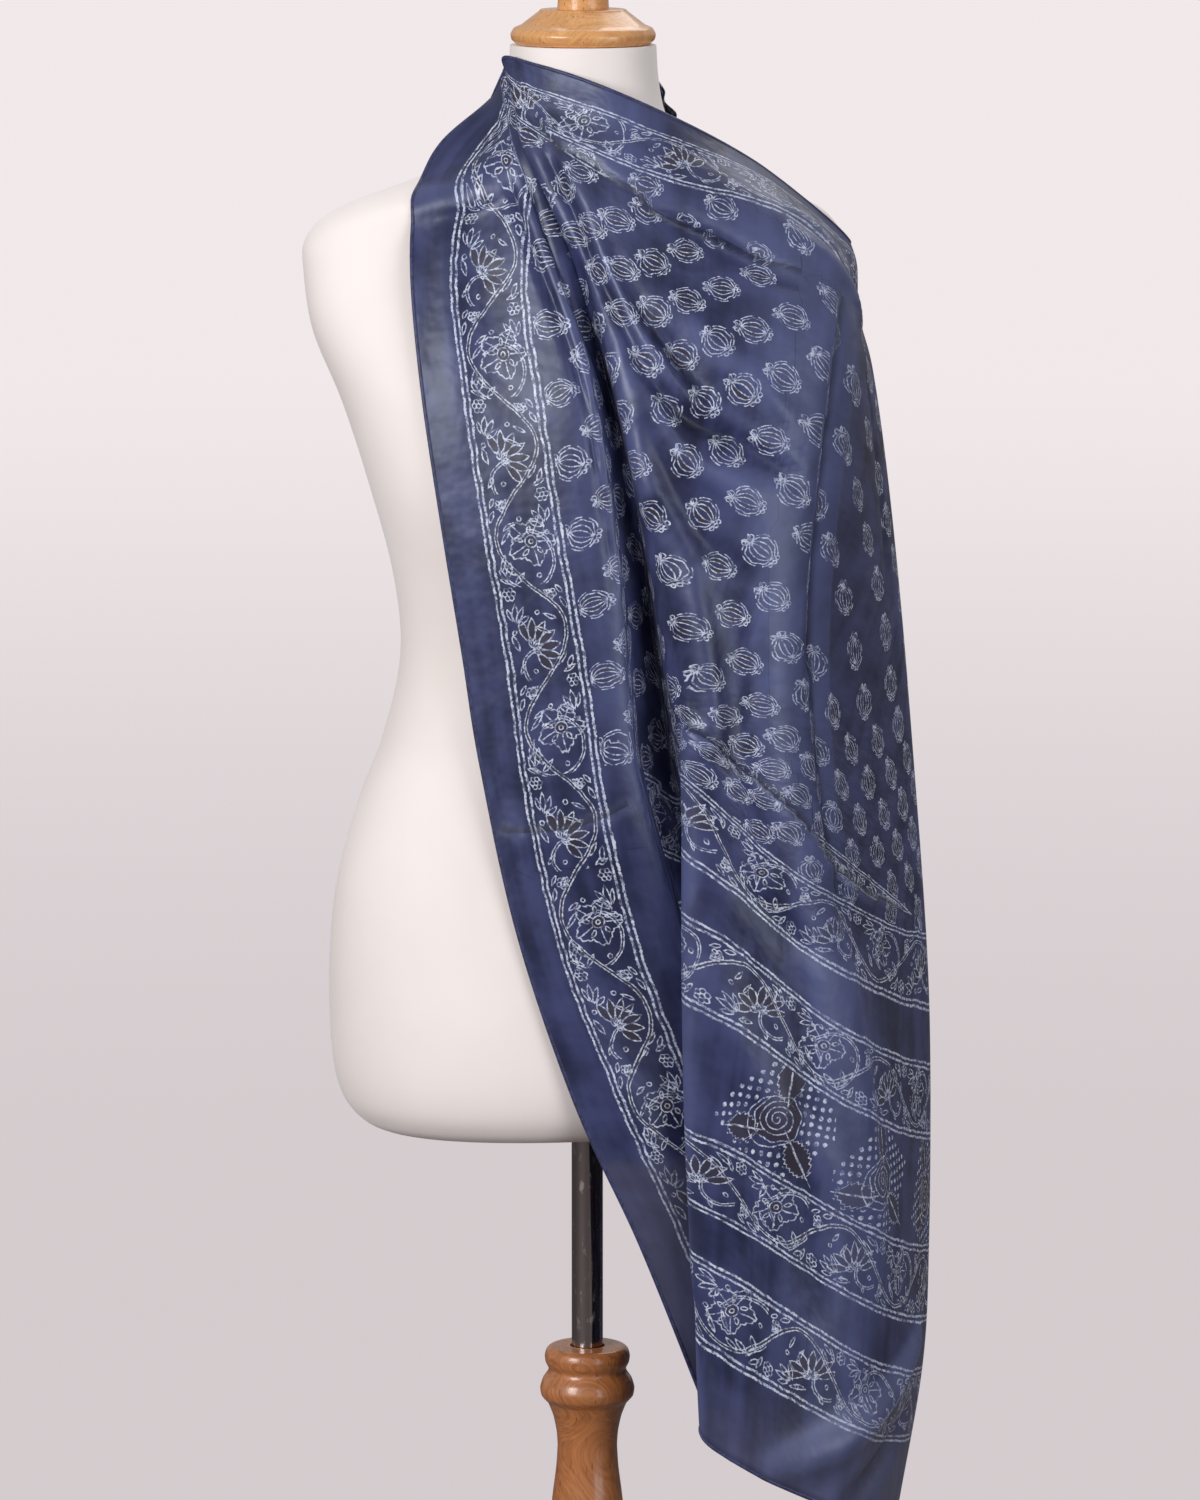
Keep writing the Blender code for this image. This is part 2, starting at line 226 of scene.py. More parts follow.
def smooth_shares(count, places):
    """How much each of a row of points counts at places along the smooth curve through them."""
    shares = np.zeros((len(places), count))
    for line, place in zip(shares, places):
        index = min(int(place), count - 2)
        along = place - index
        leave = along ** 3 - 2 * along ** 2 + along
        arrive = along ** 3 - along ** 2
        line[index + 1] += 3 * along ** 2 - 2 * along ** 3
        line[index] += 1 - 3 * along ** 2 + 2 * along ** 3
        for start, share in ((index, leave), (index + 1, arrive)):
            before, after = max(start - 1, 0), min(start + 1, count - 1)
            line[after] += share / (after - before)
            line[before] -= share / (after - before)
    return shares


def turned(outline, foot=0.0, line=(0.0, 0.0), rounds=4, sides=96):
    """Spin an outline of (radius, height) in mm round an upright line, its bends rounded."""
    corners = np.array(outline, float)
    places = np.linspace(0, len(corners) - 1, (len(corners) - 1) * rounds + 1)
    straight = np.array([np.interp(places, range(len(corners)), side) for side in corners.T]).T
    profile = (smooth_shares(len(corners), places) @ corners + straight) / 2
    work = bmesh.new()
    loop = [work.verts.new((max(radius, 0) * MM, 0, foot + height * MM))
            for radius, height in profile]
    edges = [work.edges.new(pair) for pair in zip(loop, loop[1:])]
    bmesh.ops.spin(work, geom=loop + edges, axis=(0, 0, 1), cent=(0, 0, 0), steps=sides,
                   angle=math.tau, use_merge=True)
    bmesh.ops.remove_doubles(work, verts=work.verts, dist=MERGE)
    bmesh.ops.translate(work, verts=work.verts, vec=(*line, 0))
    bmesh.ops.recalc_face_normals(work, faces=work.faces)
    return work


def wood_grain():
    """Long uneven grain, short dark pores and a slow change of tone, all along Z."""
    draft, (place, stretch) = new_effect("wood_grain", ("Place", "Stretch"),
                                         ("Grain", "Pores", "Tone"))
    along = place * draft.point(1.0, 1.0, stretch)
    bent = along + draft.point(draft.noise(place, 9.0, 1.0), 0.0)
    return draft.give(grain=draft.ramp(draft.noise(bent, 190.0, 4.0, 0.6), 0.32, 0.68),
                      pores=draft.ramp(draft.noise(along, 620.0), 0.62, 0.72),
                      tone=draft.noise(along, 38.0))


WOOD_GRAIN = wood_grain()


def turned_wood(name, light, dark, pore, stretch):
    """Varnished turned wood between a light and a dark tone, with pores of a third colour."""
    finish, draft = new_finish(name, coat_weight=0.35, coat_roughness=0.12)
    grain, pores, tone = draft.effect(WOOD_GRAIN, draft.place(), stretch)
    wood = draft.blend(grain * 0.55 + tone * 0.45, light, dark)
    draft.give(base_color=draft.blend(pores * 0.7, wood, pore),
               roughness=draft.ramp(tone, 0.3, 0.7, 0.28, 0.42),
               normal=draft.bump(grain, 0.12, 0.2 * MM))
    return finish


brown_wood = turned_wood("brown_varnished_wood", colour(190, 124, 74), colour(136, 78, 42),
                         colour(78, 42, 24), 0.07)
add_piece("stand_base_turned", turned(BASE_OUTLINE), brown_wood, "stand_wood", "stand_base")

# ---- stand column --------------------------------------------------------------------------------
# The turned column of the same wood: a flat top with the hole for the pole, two beads with a
# groove between them, a long cove and swell, and a foot that widens to the base.
COLUMN_OUTLINE = [
    # radius, height in mm, from the bottom of the hole up, over the beads and down
    (0, 584.7), (12.4, 584.7), (12.4, 610.4), (13.2, 611), (26, 611), (29.3, 608.5), (30.6, 604),
    (30.0, 599.5), (27.8, 595), (28.6, 592), (32.0, 587), (33.9, 580.5), (33.0, 575),
    (29.0, 570.5), (28.0, 569), (24.5, 560), (22.2, 549), (21.4, 538), (22.4, 522), (25.2, 500),
    (29.0, 462), (31.6, 420), (31.8, 380), (29.6, 335), (25.2, 285), (21.0, 235), (19.0, 195),
    (19.4, 170), (23.5, 158), (29.5, 153), (31.5, 147), (29.5, 141), (24.5, 137), (25.5, 120),
    (30.5, 95), (38.0, 68), (46.0, 50), (50.0, 42), (50.0, 34), (0, 34),
]
add_piece("stand_column_turned", turned(COLUMN_OUTLINE), brown_wood, "stand_wood", "stand_column")

# ---- pole ----------------------------------------------------------------------------------------
# A polished steel tube that stands in the column's hole and carries the form. It is finely
# scratched lengthwise and a little rubbed where it has slid in the stand.
pole_low, pole_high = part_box("pole")
POLE_RADIUS = (pole_high.x - pole_low.x) / 2
pole_finish, draft = new_finish("polished_steel", metallic=1.0)
scratches = draft.noise(draft.place() * (1.0, 1.0, 0.01), 2400.0)
rubs = draft.noise(draft.place() * (1.0, 1.0, 0.35), 260.0, 3.0)
steel = draft.blend(draft.ramp(rubs, 0.58, 0.72), colour(160, 150, 148), colour(196, 190, 186))
draft.give(base_color=steel, roughness=draft.ramp(rubs, 0.5, 0.75, 0.14, 0.34),
           normal=draft.bump(scratches, 0.05, 0.1 * MM))
work = bmesh.new()
bmesh.ops.create_cone(work, cap_ends=True, segments=96, radius1=POLE_RADIUS, radius2=POLE_RADIUS,
                      depth=pole_high.z - pole_low.z)
bmesh.ops.translate(work, verts=work.verts, vec=(0, 0, (pole_low.z + pole_high.z) / 2))
add_piece("pole_tube", work, pole_finish, "pole_steel", "pole")

# ---- dress form ----------------------------------------------------------------------------------
# A padded torso without arms, covered in a smooth off-white cotton jersey that is drawn tight and
# tucked under the flat bottom. Its sections are rounded ovals, turned a little to the right.
FORM_TURN = math.radians(13.0)
FORM_ROUNDNESS = 2.25
FORM_SIDES = 112
FORM_ROWS = 150
FORM_SECTIONS = np.array([
    # height, half width, half depth, set back, in mm
    (1541, 50.5, 51, 12), (1518, 52, 53, 12), (1496, 56, 58, 12), (1478, 66, 64, 14),
    (1462, 88, 69, 18), (1448, 115, 72, 24), (1439, 140, 73, 29), (1430, 163, 72, 34),
    (1419, 182, 70, 38), (1404, 193, 72, 40), (1384, 194, 79, 38), (1342, 189, 93, 28),
    (1293, 171, 102, 13), (1236, 154, 106, 3), (1172, 137, 99, 2), (1115, 132, 92, 2),
    (1058, 144, 96, 4), (1008, 162, 105, 8), (950, 177, 113, 10), (892, 182, 117, 12),
    (834, 181, 116, 12), (802, 175, 111, 12), (785, 164, 101, 12), (777, 150, 88, 12),
    (774, 132, 72, 12),
])


def grid_places(work):
    """The place of each point of a new unit grid, as shares across and down."""
    return [(vert, vert.co.x + 0.5, 0.5 - vert.co.y) for vert in work.verts]


def form_cover():
    """The jersey's surface: a grid led round every section and closed at both ends."""
    places = np.linspace(0, len(FORM_SECTIONS) - 1, FORM_ROWS + 1)
    sections = smooth_shares(len(FORM_SECTIONS), places) @ FORM_SECTIONS
    cosine, sine = math.cos(FORM_TURN), math.sin(FORM_TURN)
    cover = bmesh.new()
    bmesh.ops.create_grid(cover, x_segments=FORM_SIDES, y_segments=FORM_ROWS, size=0.5)
    for vert, around, down in grid_places(cover):
        height, half_width, half_depth, set_back = sections[round(down * FORM_ROWS)]
        angle = math.tau * around
        across, along = math.cos(angle), math.sin(angle)
        x = half_width * math.copysign(abs(across) ** (2 / FORM_ROUNDNESS), across)
        y = half_depth * math.copysign(abs(along) ** (2 / FORM_ROUNDNESS), along) + set_back
        vert.co = Vector((x * cosine - y * sine, x * sine + y * cosine, height)) * MM
    bmesh.ops.remove_doubles(cover, verts=cover.verts, dist=MERGE)
    rims = [edge for edge in cover.edges if edge.is_boundary]
    ends = bmesh.ops.holes_fill(cover, edges=rims)["faces"]
    bmesh.ops.inset_individual(cover, faces=ends, thickness=6 * MM)
    bmesh.ops.recalc_face_normals(cover, faces=cover.faces)
    return cover


jersey, draft = new_finish("cotton_jersey", roughness=0.88, sheen_weight=0.25,
                           sheen_roughness=0.5)
wales = draft.noise(draft.place() * (1.0, 1.0, 0.25), 1900.0, 1.0)
puckers = draft.noise(draft.place(), 16.0)
soil = draft.ramp(draft.noise(draft.place(), 7.0, 3.0), 0.35, 0.75)
draft.give(base_color=draft.blend(soil, colour(238, 230, 228), colour(231, 222, 219)),
           normal=draft.bump(wales * 0.05 + puckers, 0.35, 1 * MM))
form = add_piece("form_jersey", form_cover(), jersey, "form_cover", "torso")

# ---- neck cap ------------------------------------------------------------------------------------
# The turned cap of paler wood on the form's neck: a knob, a flat disc, a cone and a rounded edge,
# under a glossy honey-coloured varnish.
CAP_OUTLINE = [
    # radius, height in mm above the neck
    (0, 62), (9, 61), (15, 57.5), (18, 52), (18.4, 46), (17.6, 36), (18.0, 25.2), (18.6, 24.5),
    (29.3, 24.5), (30.6, 23.6), (31.4, 22.8), (43, 14), (44.5, 13.2), (48.5, 11.4), (50.8, 7.5),
    (50.2, 3.6), (47.5, 0.9), (45, 0), (0, 0),
]
cap_low, cap_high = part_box("neck_cap")
cap_line = ((cap_low.x + cap_high.x) / 2, (cap_low.y + cap_high.y) / 2)
honey_wood = turned_wood("honey_varnished_wood", colour(226, 172, 112), colour(190, 128, 72),
                         colour(120, 72, 40), 0.4)
add_piece("neck_cap_turned", turned(CAP_OUTLINE, cap_low.z, cap_line), honey_wood, "pale_wood",
          "neck_cap")

# ---- stole: its drape ----------------------------------------------------------------------------
# One long silk cloth, gathered at the left of the neck. The side edge falls across the form's
# front, a deep valley parts it from the front fall, and the rest goes over the shoulder and down
# behind. The table's fold lines run down the cloth, its levels along the print's rows.
LEVELS = [
    # side_edge          border             left_ridge         valley
    # front_fold         middle             crease             side, each as (x, y, z) in mm
    ("top_edge", (-66, 7, 1504), (-64, 2, 1510), (-61, -3, 1517), (-57, -9, 1525),
     (-51, -17, 1534), (27, -58, 1510), (116, 3, 1461), (181, 61, 1404)),
    ("neck", (-104, -4, 1471), (-73, -22, 1468), (-52, -36, 1474), (-43, -38, 1478),
     (-34, -48, 1481), (37, -76, 1460), (139, -34, 1429), (188, 59, 1386)),
    ("collar", (-119, -34, 1433), (-74, -52, 1423), (-38, -66, 1435), (-26, -58, 1434),
     (-14, -74, 1439), (47, -90, 1399), (163, -50, 1387), (191, 54, 1351)),
    ("chest", (-122, -62, 1390), (-69, -78, 1370), (-18, -92, 1378), (-4, -74, 1376),
     (8, -98, 1378), (59, -108, 1338), (167, -76, 1339), (200, 46, 1313)),
    ("bust", (-115, -90, 1316), (-62, -104, 1303), (2, -116, 1304), (17, -86, 1301),
     (25, -122, 1305), (71, -126, 1257), (158, -100, 1261), (209, 38, 1242)),
    ("under_bust", (-101, -106, 1221), (-51, -118, 1208), (16, -126, 1208), (36, -90, 1204),
     (44, -134, 1209), (83, -136, 1161), (149, -114, 1166), (218, 30, 1147)),
    ("waist", (-86, -110, 1127), (-41, -120, 1118), (24, -127, 1112), (50, -86, 1106),
     (61, -137, 1106), (93, -139, 1071), (149, -118, 1083), (226, 26, 1050)),
    ("band_1", (-74, -112, 1050), (-28, -120, 1034), (33, -125, 1038), (64, -84, 1021),
     (68, -138, 1061), (104, -140, 1032), (160, -117, 983), (237, 22, 911)),
    ("band_2", (-48, -116, 930), (2, -118, 914), (61, -114, 927), (99, -100, 930),
     (69, -136, 958), (107, -139, 932), (183, -108, 862), (242, 20, 814)),
    ("band_3", (-8, -116, 810), (41, -114, 807), (79, -106, 805), (117, -106, 802),
     (70, -132, 802), (108, -136, 781), (198, -100, 719), (243, 20, 680)),
    ("band_4", (37, -110, 709), (72, -106, 705), (92, -102, 704), (123, -104, 702),
     (72, -127, 712), (112, -132, 687), (196, -98, 626), (239, 18, 590)),
    ("hem", (84, -102, 588), (91, -100, 594), (101, -98, 602), (123, -100, 614),
     (79, -121, 580), (116, -127, 550), (186, -100, 513), (222, 10, 485)),
]
BACK_FALL = [
    # how far the rear edge lies in from the side, behind it and below it, in mm, level by level
    (62, 52, 26), (78, 58, 40), (92, 62, 44), (106, 66, 46), (118, 76, 44), (128, 88, 38),
    (136, 96, 30), (142, 100, 20), (144, 102, 8), (142, 100, -6), (132, 94, -24), (116, 88, -44),
]
BACK_ROUTE = [(0.06, 0.45, 0.20), (0.42, 0.90, 0.60), (1.00, 1.00, 1.00)]
RIDGE, FRONT_FOLD, SIDE, REAR = 2, 4, 7, 10
LEVEL_STEPS = 18
COLUMN_STEPS = 20
ROWS = (len(LEVELS) - 1) * LEVEL_STEPS
COLUMNS = REAR * COLUMN_STEPS
BACK_PLEATS = 2
BACK_PLEAT_DEPTH = 7 * MM
BACK_PLEATS_FULL = 3
CLOTH = 0.5 * MM
REST_GAP = 0.9 * MM
REST_SOFTNESS = 3.0 * MM

FOLDS = [
    # (level, column) points along a fold's line, its height (+ out, - in) and half width in mm
    ([(0.5, 1.5), (0.9, 1.55), (1.75, 1.63), (2.7, 1.73), (3.5, 1.88), (4.4, 1.95), (5.4, 2.0)],
     -6.0, 3.2),
    ([(0.5, 2.15), (2.0, 2.15), (2.8, 2.2), (3.6, 2.4), (4.3, 2.6)], -5.0, 3.0),
    ([(0.6, 2.6), (1.6, 2.6), (2.6, 2.65), (3.4, 2.8)], 5.0, 5.5),
    ([(0.7, 3.6), (1.6, 3.6), (2.6, 3.6)], 5.0, 6.0),
    ([(1.3, 4.02), (2.0, 4.05), (2.6, 4.12), (2.95, 4.3), (3.4, 4.6)], -8.0, 5.0),
    ([(1.5, 4.35), (2.3, 4.45), (3.0, 4.75), (3.5, 5.1)], 6.0, 8.0),
    ([(1.9, 4.35), (2.7, 4.72), (3.05, 5.0), (3.45, 5.25)], -9.0, 7.0),
    ([(2.3, 5.0), (3.0, 5.3), (3.5, 5.6), (4.0, 5.8)], 5.0, 10.0),
    ([(3.3, 4.5), (3.55, 4.95), (3.72, 5.3), (3.95, 5.6), (4.2, 5.87)], -9.0, 7.0),
    ([(3.55, 4.5), (3.85, 4.9), (4.05, 5.3), (4.3, 5.6)], 6.0, 10.0),
    ([(3.9, 4.4), (4.3, 4.8), (4.6, 5.25), (4.8, 5.6)], -5.0, 8.0),
    ([(3.2, 5.3), (3.6, 5.55), (3.95, 5.87)], -5.0, 6.0),
    ([(1.45, 5.1), (1.8, 5.4), (2.1, 5.6), (2.45, 5.85)], -5.0, 6.5),
    ([(1.2, 5.9), (1.5, 6.2), (1.8, 6.6)], -3.5, 7.0),
    ([(1.6, 5.8), (2.0, 6.1), (2.6, 6.5)], 4.0, 9.0),
    ([(2.2, 6.1), (3.0, 6.0), (4.4, 5.98), (5.6, 6.0), (7.2, 6.05)], -3.0, 3.6),
    ([(2.6, 6.2), (4.4, 6.15), (5.8, 6.15), (7.2, 6.2)], 3.0, 7.0),
    ([(2.0, 6.75), (3.0, 6.6), (3.6, 6.8), (4.5, 6.9), (5.8, 6.95)], -3.0, 3.5),
    ([(4.6, 4.25), (5.4, 4.3), (6.4, 4.3)], -9.0, 10.0),
    ([(4.7, 4.8), (5.5, 4.85), (6.3, 4.8)], 5.0, 12.0),
    ([(4.8, 5.4), (5.6, 5.35), (6.5, 5.3)], -5.0, 12.0),
    ([(7.6, 4.8), (7.7, 5.4), (7.6, 6.1)], -3.0, 9.0),
    ([(8.2, 4.6), (8.6, 5.2), (8.9, 6.0)], 4.0, 12.0),
    ([(7.3, 5.5), (8.2, 5.55), (9.2, 5.5), (10.0, 5.6)], -5.0, 12.0),
    ([(7.5, 6.0), (8.5, 6.0), (9.4, 6.05)], 4.5, 11.0),
    ([(11.0, 5.05), (10.75, 5.57), (10.58, 5.85), (10.28, 6.22), (9.88, 6.62), (9.6, 6.8)],
     10.0, 13.0),
    ([(11.0, 5.9), (10.7, 6.3), (10.3, 6.8)], -8.0, 11.0),
    ([(10.2, 4.3), (10.6, 4.6), (11.0, 4.7)], -5.0, 10.0),
    ([(7.2, 0.4), (8.4, 0.6), (9.6, 0.9)], 2.5, 12.0),
    ([(1.0, 0.3), (2.5, 0.5), (4.5, 0.5)], 3.0, 12.0),
]
# the front fall's soft lift in mm, and the columns and levels where it starts, is full and ends
FRONT_LIFT = 7.0
FRONT_LIFT_SPAN = (3.6, 4.4, 6.0, 6.9)
FRONT_LIFT_LEVELS = (0.4, 1.5, 8.0, 10.0)
TUCKS = [
    # (level, column) points along a creased edge, how much it stands out on its first side, and
    # how much cloth it hides across and down, in mm
    ([(0.45, 4.05), (1.0, 4.25), (1.05, 4.57), (1.2, 4.75), (1.28, 4.95), (1.45, 5.05),
      (1.6, 5.35), (1.8, 5.52), (1.95, 5.65), (2.12, 5.92)], -3.5, 0.0, 25.0),
    ([(6.55, 4.05), (6.3, 4.45), (6.2, 4.9), (6.5, 5.3), (6.72, 5.6), (6.85, 5.87), (7.0, 6.05),
      (7.0, 6.45), (6.95, 6.95)], 4.0, 0.0, 66.0),
    ([(2.2, 6.1), (3.0, 6.0), (4.4, 5.98), (5.6, 6.0), (7.5, 6.05)], 1.0, 38.0, 0.0),
    ([(7.42, 0.0), (7.28, 0.77), (7.23, 1.3), (7.19, 1.62), (7.12, 1.95)], 3.5, 0.0, 0.0),
]
HOLLOW_ROWS, HOLLOW_COLUMNS = 4, 7
TUCK_FALL = 1.5 * MM
TUCK_REACH = 14 * MM
PRINT_REACH = 50 * MM
NO_CREASE = 30.0 * MM
SHADED_SHARE = 0.35


def drape_net():
    """The table's points with the back fall's three added to each level, in metres."""
    net = []
    for (_, *front), reach in zip(LEVELS, BACK_FALL):
        side = np.array(front[-1], float)
        inward, behind, lower = reach
        rear = [side + (-inward * across, behind * along, -lower * down)
                for across, along, down in BACK_ROUTE]
        net.append([*np.array(front, float), *rear])
    return np.array(net) * MM


def arc_lengths(sheet, axis):
    """The length of cloth from the first row or column to each point."""
    steps = np.linalg.norm(np.diff(sheet, axis=axis), axis=2)
    start = np.zeros_like(np.take(steps, [0], axis=axis))
    return np.cumsum(np.concatenate([start, steps], axis=axis), axis=axis)


def outward_normals(sheet):
    down, across = np.gradient(sheet, axis=0), np.gradient(sheet, axis=1)
    normals = np.cross(down, across)
    return normals / np.linalg.norm(normals, axis=2, keepdims=True)


levels = np.linspace(0, len(LEVELS) - 1, ROWS + 1)
columns = np.linspace(0, REAR, COLUMNS + 1)
sheet = np.einsum("rl,ck,lkx->rcx", smooth_shares(len(LEVELS), levels),
                  smooth_shares(REAR + 1, columns), drape_net())

# ---- stole: its flat cloth -----------------------------------------------------------------------
# Every point's place on the flat cloth, in metres, so that the print keeps its real size: its
# distance from the side edge, from the top edge and from the rear edge.
PRINT_PLACES = [
    # distances in mm: from the side edge at the front fold, middle, crease and side, and
    # from the top edge at all the eight fold lines
    ("top_edge", (144, 239, 342, 412), (93, 88, 80, 45, 0, 0, 0, 0)),
    ("neck", (159, 254, 357, 409), (119, 128, 127, 122, 98, 76, 74, 54)),
    ("collar", (174, 261, 387, 428), (161, 178, 170, 162, 146, 152, 104, 90)),
    ("chest", (204, 278, 407, 468), (207, 235, 234, 232, 230, 231, 156, 140)),
    ("bust", (254, 319, 413, 497), (287, 308, 316, 307, 298, 311, 250, 218)),
    ("under_bust", (316, 372, 455, 546), (388, 409, 419, 399, 378, 392, 348, 309)),
    ("waist", (372, 424, 490, 611), (487, 503, 518, 489, 458, 474, 422, 391)),
    ("band_1", (398, 446, 537, 679), (567, 591, 594, 588, 580, 574, 576, 580)),
    ("band_2", (428, 477, 588, 716), (690, 713, 706, 690, 673, 673, 673, 673)),
    ("band_3", (448, 494, 620, 740), (815, 825, 826, 820, 811, 811, 811, 811)),
    ("band_4", (454, 502, 625, 742), (920, 925, 925, 915, 904, 904, 904, 904)),
    ("hem", (470, 522, 630, 740), (1020, 1020, 1020, 1020, 1020, 1020, 1020, 1020)),
]
GATHER_CREASES = (2.15, 3.05)
CREASE_WIDTH = 0.04
LINE_POINTS = 90
LEAST_CELL = 1e-7
LEAST_LENGTH, MOST_LENGTH, MOST_LEAN = 0.45, 1.6, 0.7
METRIC_ROWS, METRIC_COLUMNS = 3, 5


def line_distances(line):
    """Each point's distance from a line on the cloth, above or below zero by its side of it,
    and how fully the line counts there, which fades to nothing at the line's two ends."""
    places = np.array(line, float)
    steps = np.linspace(0, len(places) - 1, LINE_POINTS)
    rows, sides = (smooth_shares(len(places), steps) @ places).T
    rows = np.clip(rows * LEVEL_STEPS, 0, ROWS - 0.001)
    sides = np.clip(sides * COLUMN_STEPS, 0, COLUMNS - 0.001)
    row, side = rows.astype(int), sides.astype(int)
    down, across = (rows - row)[:, None], (sides - side)[:, None]
    curve = ((sheet[row, side] * (1 - across) + sheet[row, side + 1] * across) * (1 - down)
             + (sheet[row + 1, side] * (1 - across) + sheet[row + 1, side + 1] * across) * down)
    ways = np.gradient(curve, axis=0)
    beside = np.cross(normals[row, side], ways)
    beside /= np.linalg.norm(beside, axis=1, keepdims=True)
    nearest = np.full(sheet.shape[:2], np.inf)
    signs, shares = np.ones(nearest.shape), np.zeros(nearest.shape)
    for index, (place, way) in enumerate(zip(curve, beside)):
        offset = sheet - place
        away = np.linalg.norm(offset, axis=2)
        closer = away < nearest
        nearest[closer] = away[closer]
        signs[closer] = np.sign(offset[closer] @ way)
        shares[closer] = math.sqrt(math.sin(math.pi * (index + 0.5) / len(curve)))
    return nearest * signs, shares


def blurred(values, axis, reach):
    """A running mean along one axis, taken twice."""
    for _ in range(2):
        ends = [(reach, reach) if side == axis else (0, 0) for side in range(values.ndim)]
        sums = np.cumsum(np.pad(values, ends, mode="edge"), axis=axis)
        count = values.shape[axis]
        first = np.take(sums, range(count), axis=axis)
        last = np.take(sums, np.minimum(np.arange(count) + 2 * reach, sums.shape[axis] - 1),
                       axis=axis)
        values = (last - first) / (2 * reach)
    return values


def flat_across():
    """Distance from the side edge; the cloth hidden in the valley takes up the difference."""
    across = arc_lengths(sheet, 1)
    ridge, fold, side = (line * COLUMN_STEPS for line in (RIDGE, FRONT_FOLD, SIDE))
    table = np.array([places for _, places, _ in PRINT_PLACES]) * MM
    front = (smooth_shares(len(LEVELS), levels) @ table
             @ smooth_shares(4, columns[fold:side + 1] - FRONT_FOLD).T)
    back = across[:, side:] - across[:, side:side + 1] + front[:, -1:]
    seen = across[:, ridge:fold + 1]
    hidden = front[:, :1] - seen[:, -1:]
    share = sum(0.5 + 0.5 * np.tanh((columns[ridge:fold + 1] - crease) / CREASE_WIDTH)
                for crease in GATHER_CREASES) / len(GATHER_CREASES)
    valley = seen + hidden * (share - share[0]) / (share[-1] - share[0])
    return np.hstack([across[:, :ridge], valley[:, :-1], front[:, :-1], back])


def weave_metric(across, down):
    """How long the flat cloth's two ways are on the draped cloth, and how far they lean together."""
    by_row, by_side = np.gradient(sheet, axis=0), np.gradient(sheet, axis=1)
    (across_row, across_side), (down_row, down_side) = np.gradient(across), np.gradient(down)
    cell = across_side * down_row - across_row * down_side
    cell = np.where(np.abs(cell) < LEAST_CELL, LEAST_CELL, cell)[..., None]
    along_across = (by_side * down_row[..., None] - by_row * down_side[..., None]) / cell
    along_down = (by_row * across_side[..., None] - by_side * across_row[..., None]) / cell
    lead, other = [np.clip(np.linalg.norm(way, axis=2), LEAST_LENGTH, MOST_LENGTH)
                   for way in (along_across, along_down)]
    lean = np.einsum("rcx,rcx->rc", along_across, along_down)
    lean = np.clip(lean / (lead * other), -MOST_LEAN, MOST_LEAN) * lead * other
    metric = np.stack([lead, lean, other], axis=2)
    return blurred(blurred(metric, 0, METRIC_ROWS), 1, METRIC_COLUMNS)


def flat_down():
    """Distance from the top edge."""
    table = np.array([places + places[-1:] * (REAR - SIDE) for _, _, places in PRINT_PLACES]) * MM
    return smooth_shares(len(LEVELS), levels) @ table @ smooth_shares(REAR + 1, columns).T


normals = outward_normals(sheet)
across_flat, down_flat = flat_across(), flat_down()
metric = weave_metric(across_flat, down_flat)
rear_flat = arc_lengths(sheet[:, ::-1], 1)[:, ::-1]
relief = np.zeros(sheet.shape[:2])
spread = [np.interp(steps, span, (0, 1, 1, 0))
          for steps, span in ((levels, FRONT_LIFT_LEVELS), (columns, FRONT_LIFT_SPAN))]
relief += FRONT_LIFT * MM * np.outer(*[side * side * (3 - 2 * side) for side in spread])
for line, height, half_width in FOLDS:
    away, share = line_distances(line)
    relief += height * MM * share * np.exp(-(away / (half_width * MM)) ** 2)
# The signed distance to the nearest creased edge, kept for the painted shadow that the silk lays on
# one side of it
edge_line = np.full(sheet.shape[:2], NO_CREASE)
for line, height, hidden_across, hidden_down in TUCKS:
    away, share = line_distances(line)
    step = np.tanh(away / TUCK_FALL)
    relief += height * MM * share * (0.5 - 0.5 * step) * np.exp(-np.abs(away) / TUCK_REACH)
    drift = 0.5 * step * np.exp(-np.abs(away) / PRINT_REACH) * share * MM
    across_flat = across_flat + hidden_across * drift
    down_flat = down_flat + hidden_down * drift
    faded = np.where(share > SHADED_SHARE, away * np.sign(height), NO_CREASE)
    edge_line = np.where(np.abs(faded) < np.abs(edge_line), faded, edge_line)
behind = np.clip((columns - SIDE) / (REAR - SIDE), 0, 1)[None, :]
grown = np.clip(levels / BACK_PLEATS_FULL, 0, 1)[:, None]
relief += BACK_PLEAT_DEPTH * grown * behind * np.sin(math.tau * BACK_PLEATS * behind)


form_surface = BVHTree.FromPolygons([vertex.co for vertex in form.data.vertices],
                                    [face.vertices for face in form.data.polygons])


def rest_on_form(points, gap):
    """Lift each point of the cloth that is near or in the form, softly, to a gap from its cover."""
    for line in points:
        for place in line:
            nearest, normal, _, _ = form_surface.find_nearest(Vector(place))
            height = (Vector(place) - nearest).dot(normal)
            if height < gap + 4 * REST_SOFTNESS:
                lifted = gap + REST_SOFTNESS * np.logaddexp(0, (height - gap) / REST_SOFTNESS)
                place += np.array(normal) * (lifted - height)


sheet = sheet + normals * relief[..., None]
rest_on_form(sheet, REST_GAP + CLOTH / 2)
# How far each point lies below the smoothed cloth: the silk paints shade into the hollows and a
# sheen onto the ridges from it
smoothed = blurred(blurred(sheet, 0, HOLLOW_ROWS), 1, HOLLOW_COLUMNS)
hollow = np.einsum("rcx,rcx->rc", smoothed - sheet, outward_normals(sheet))

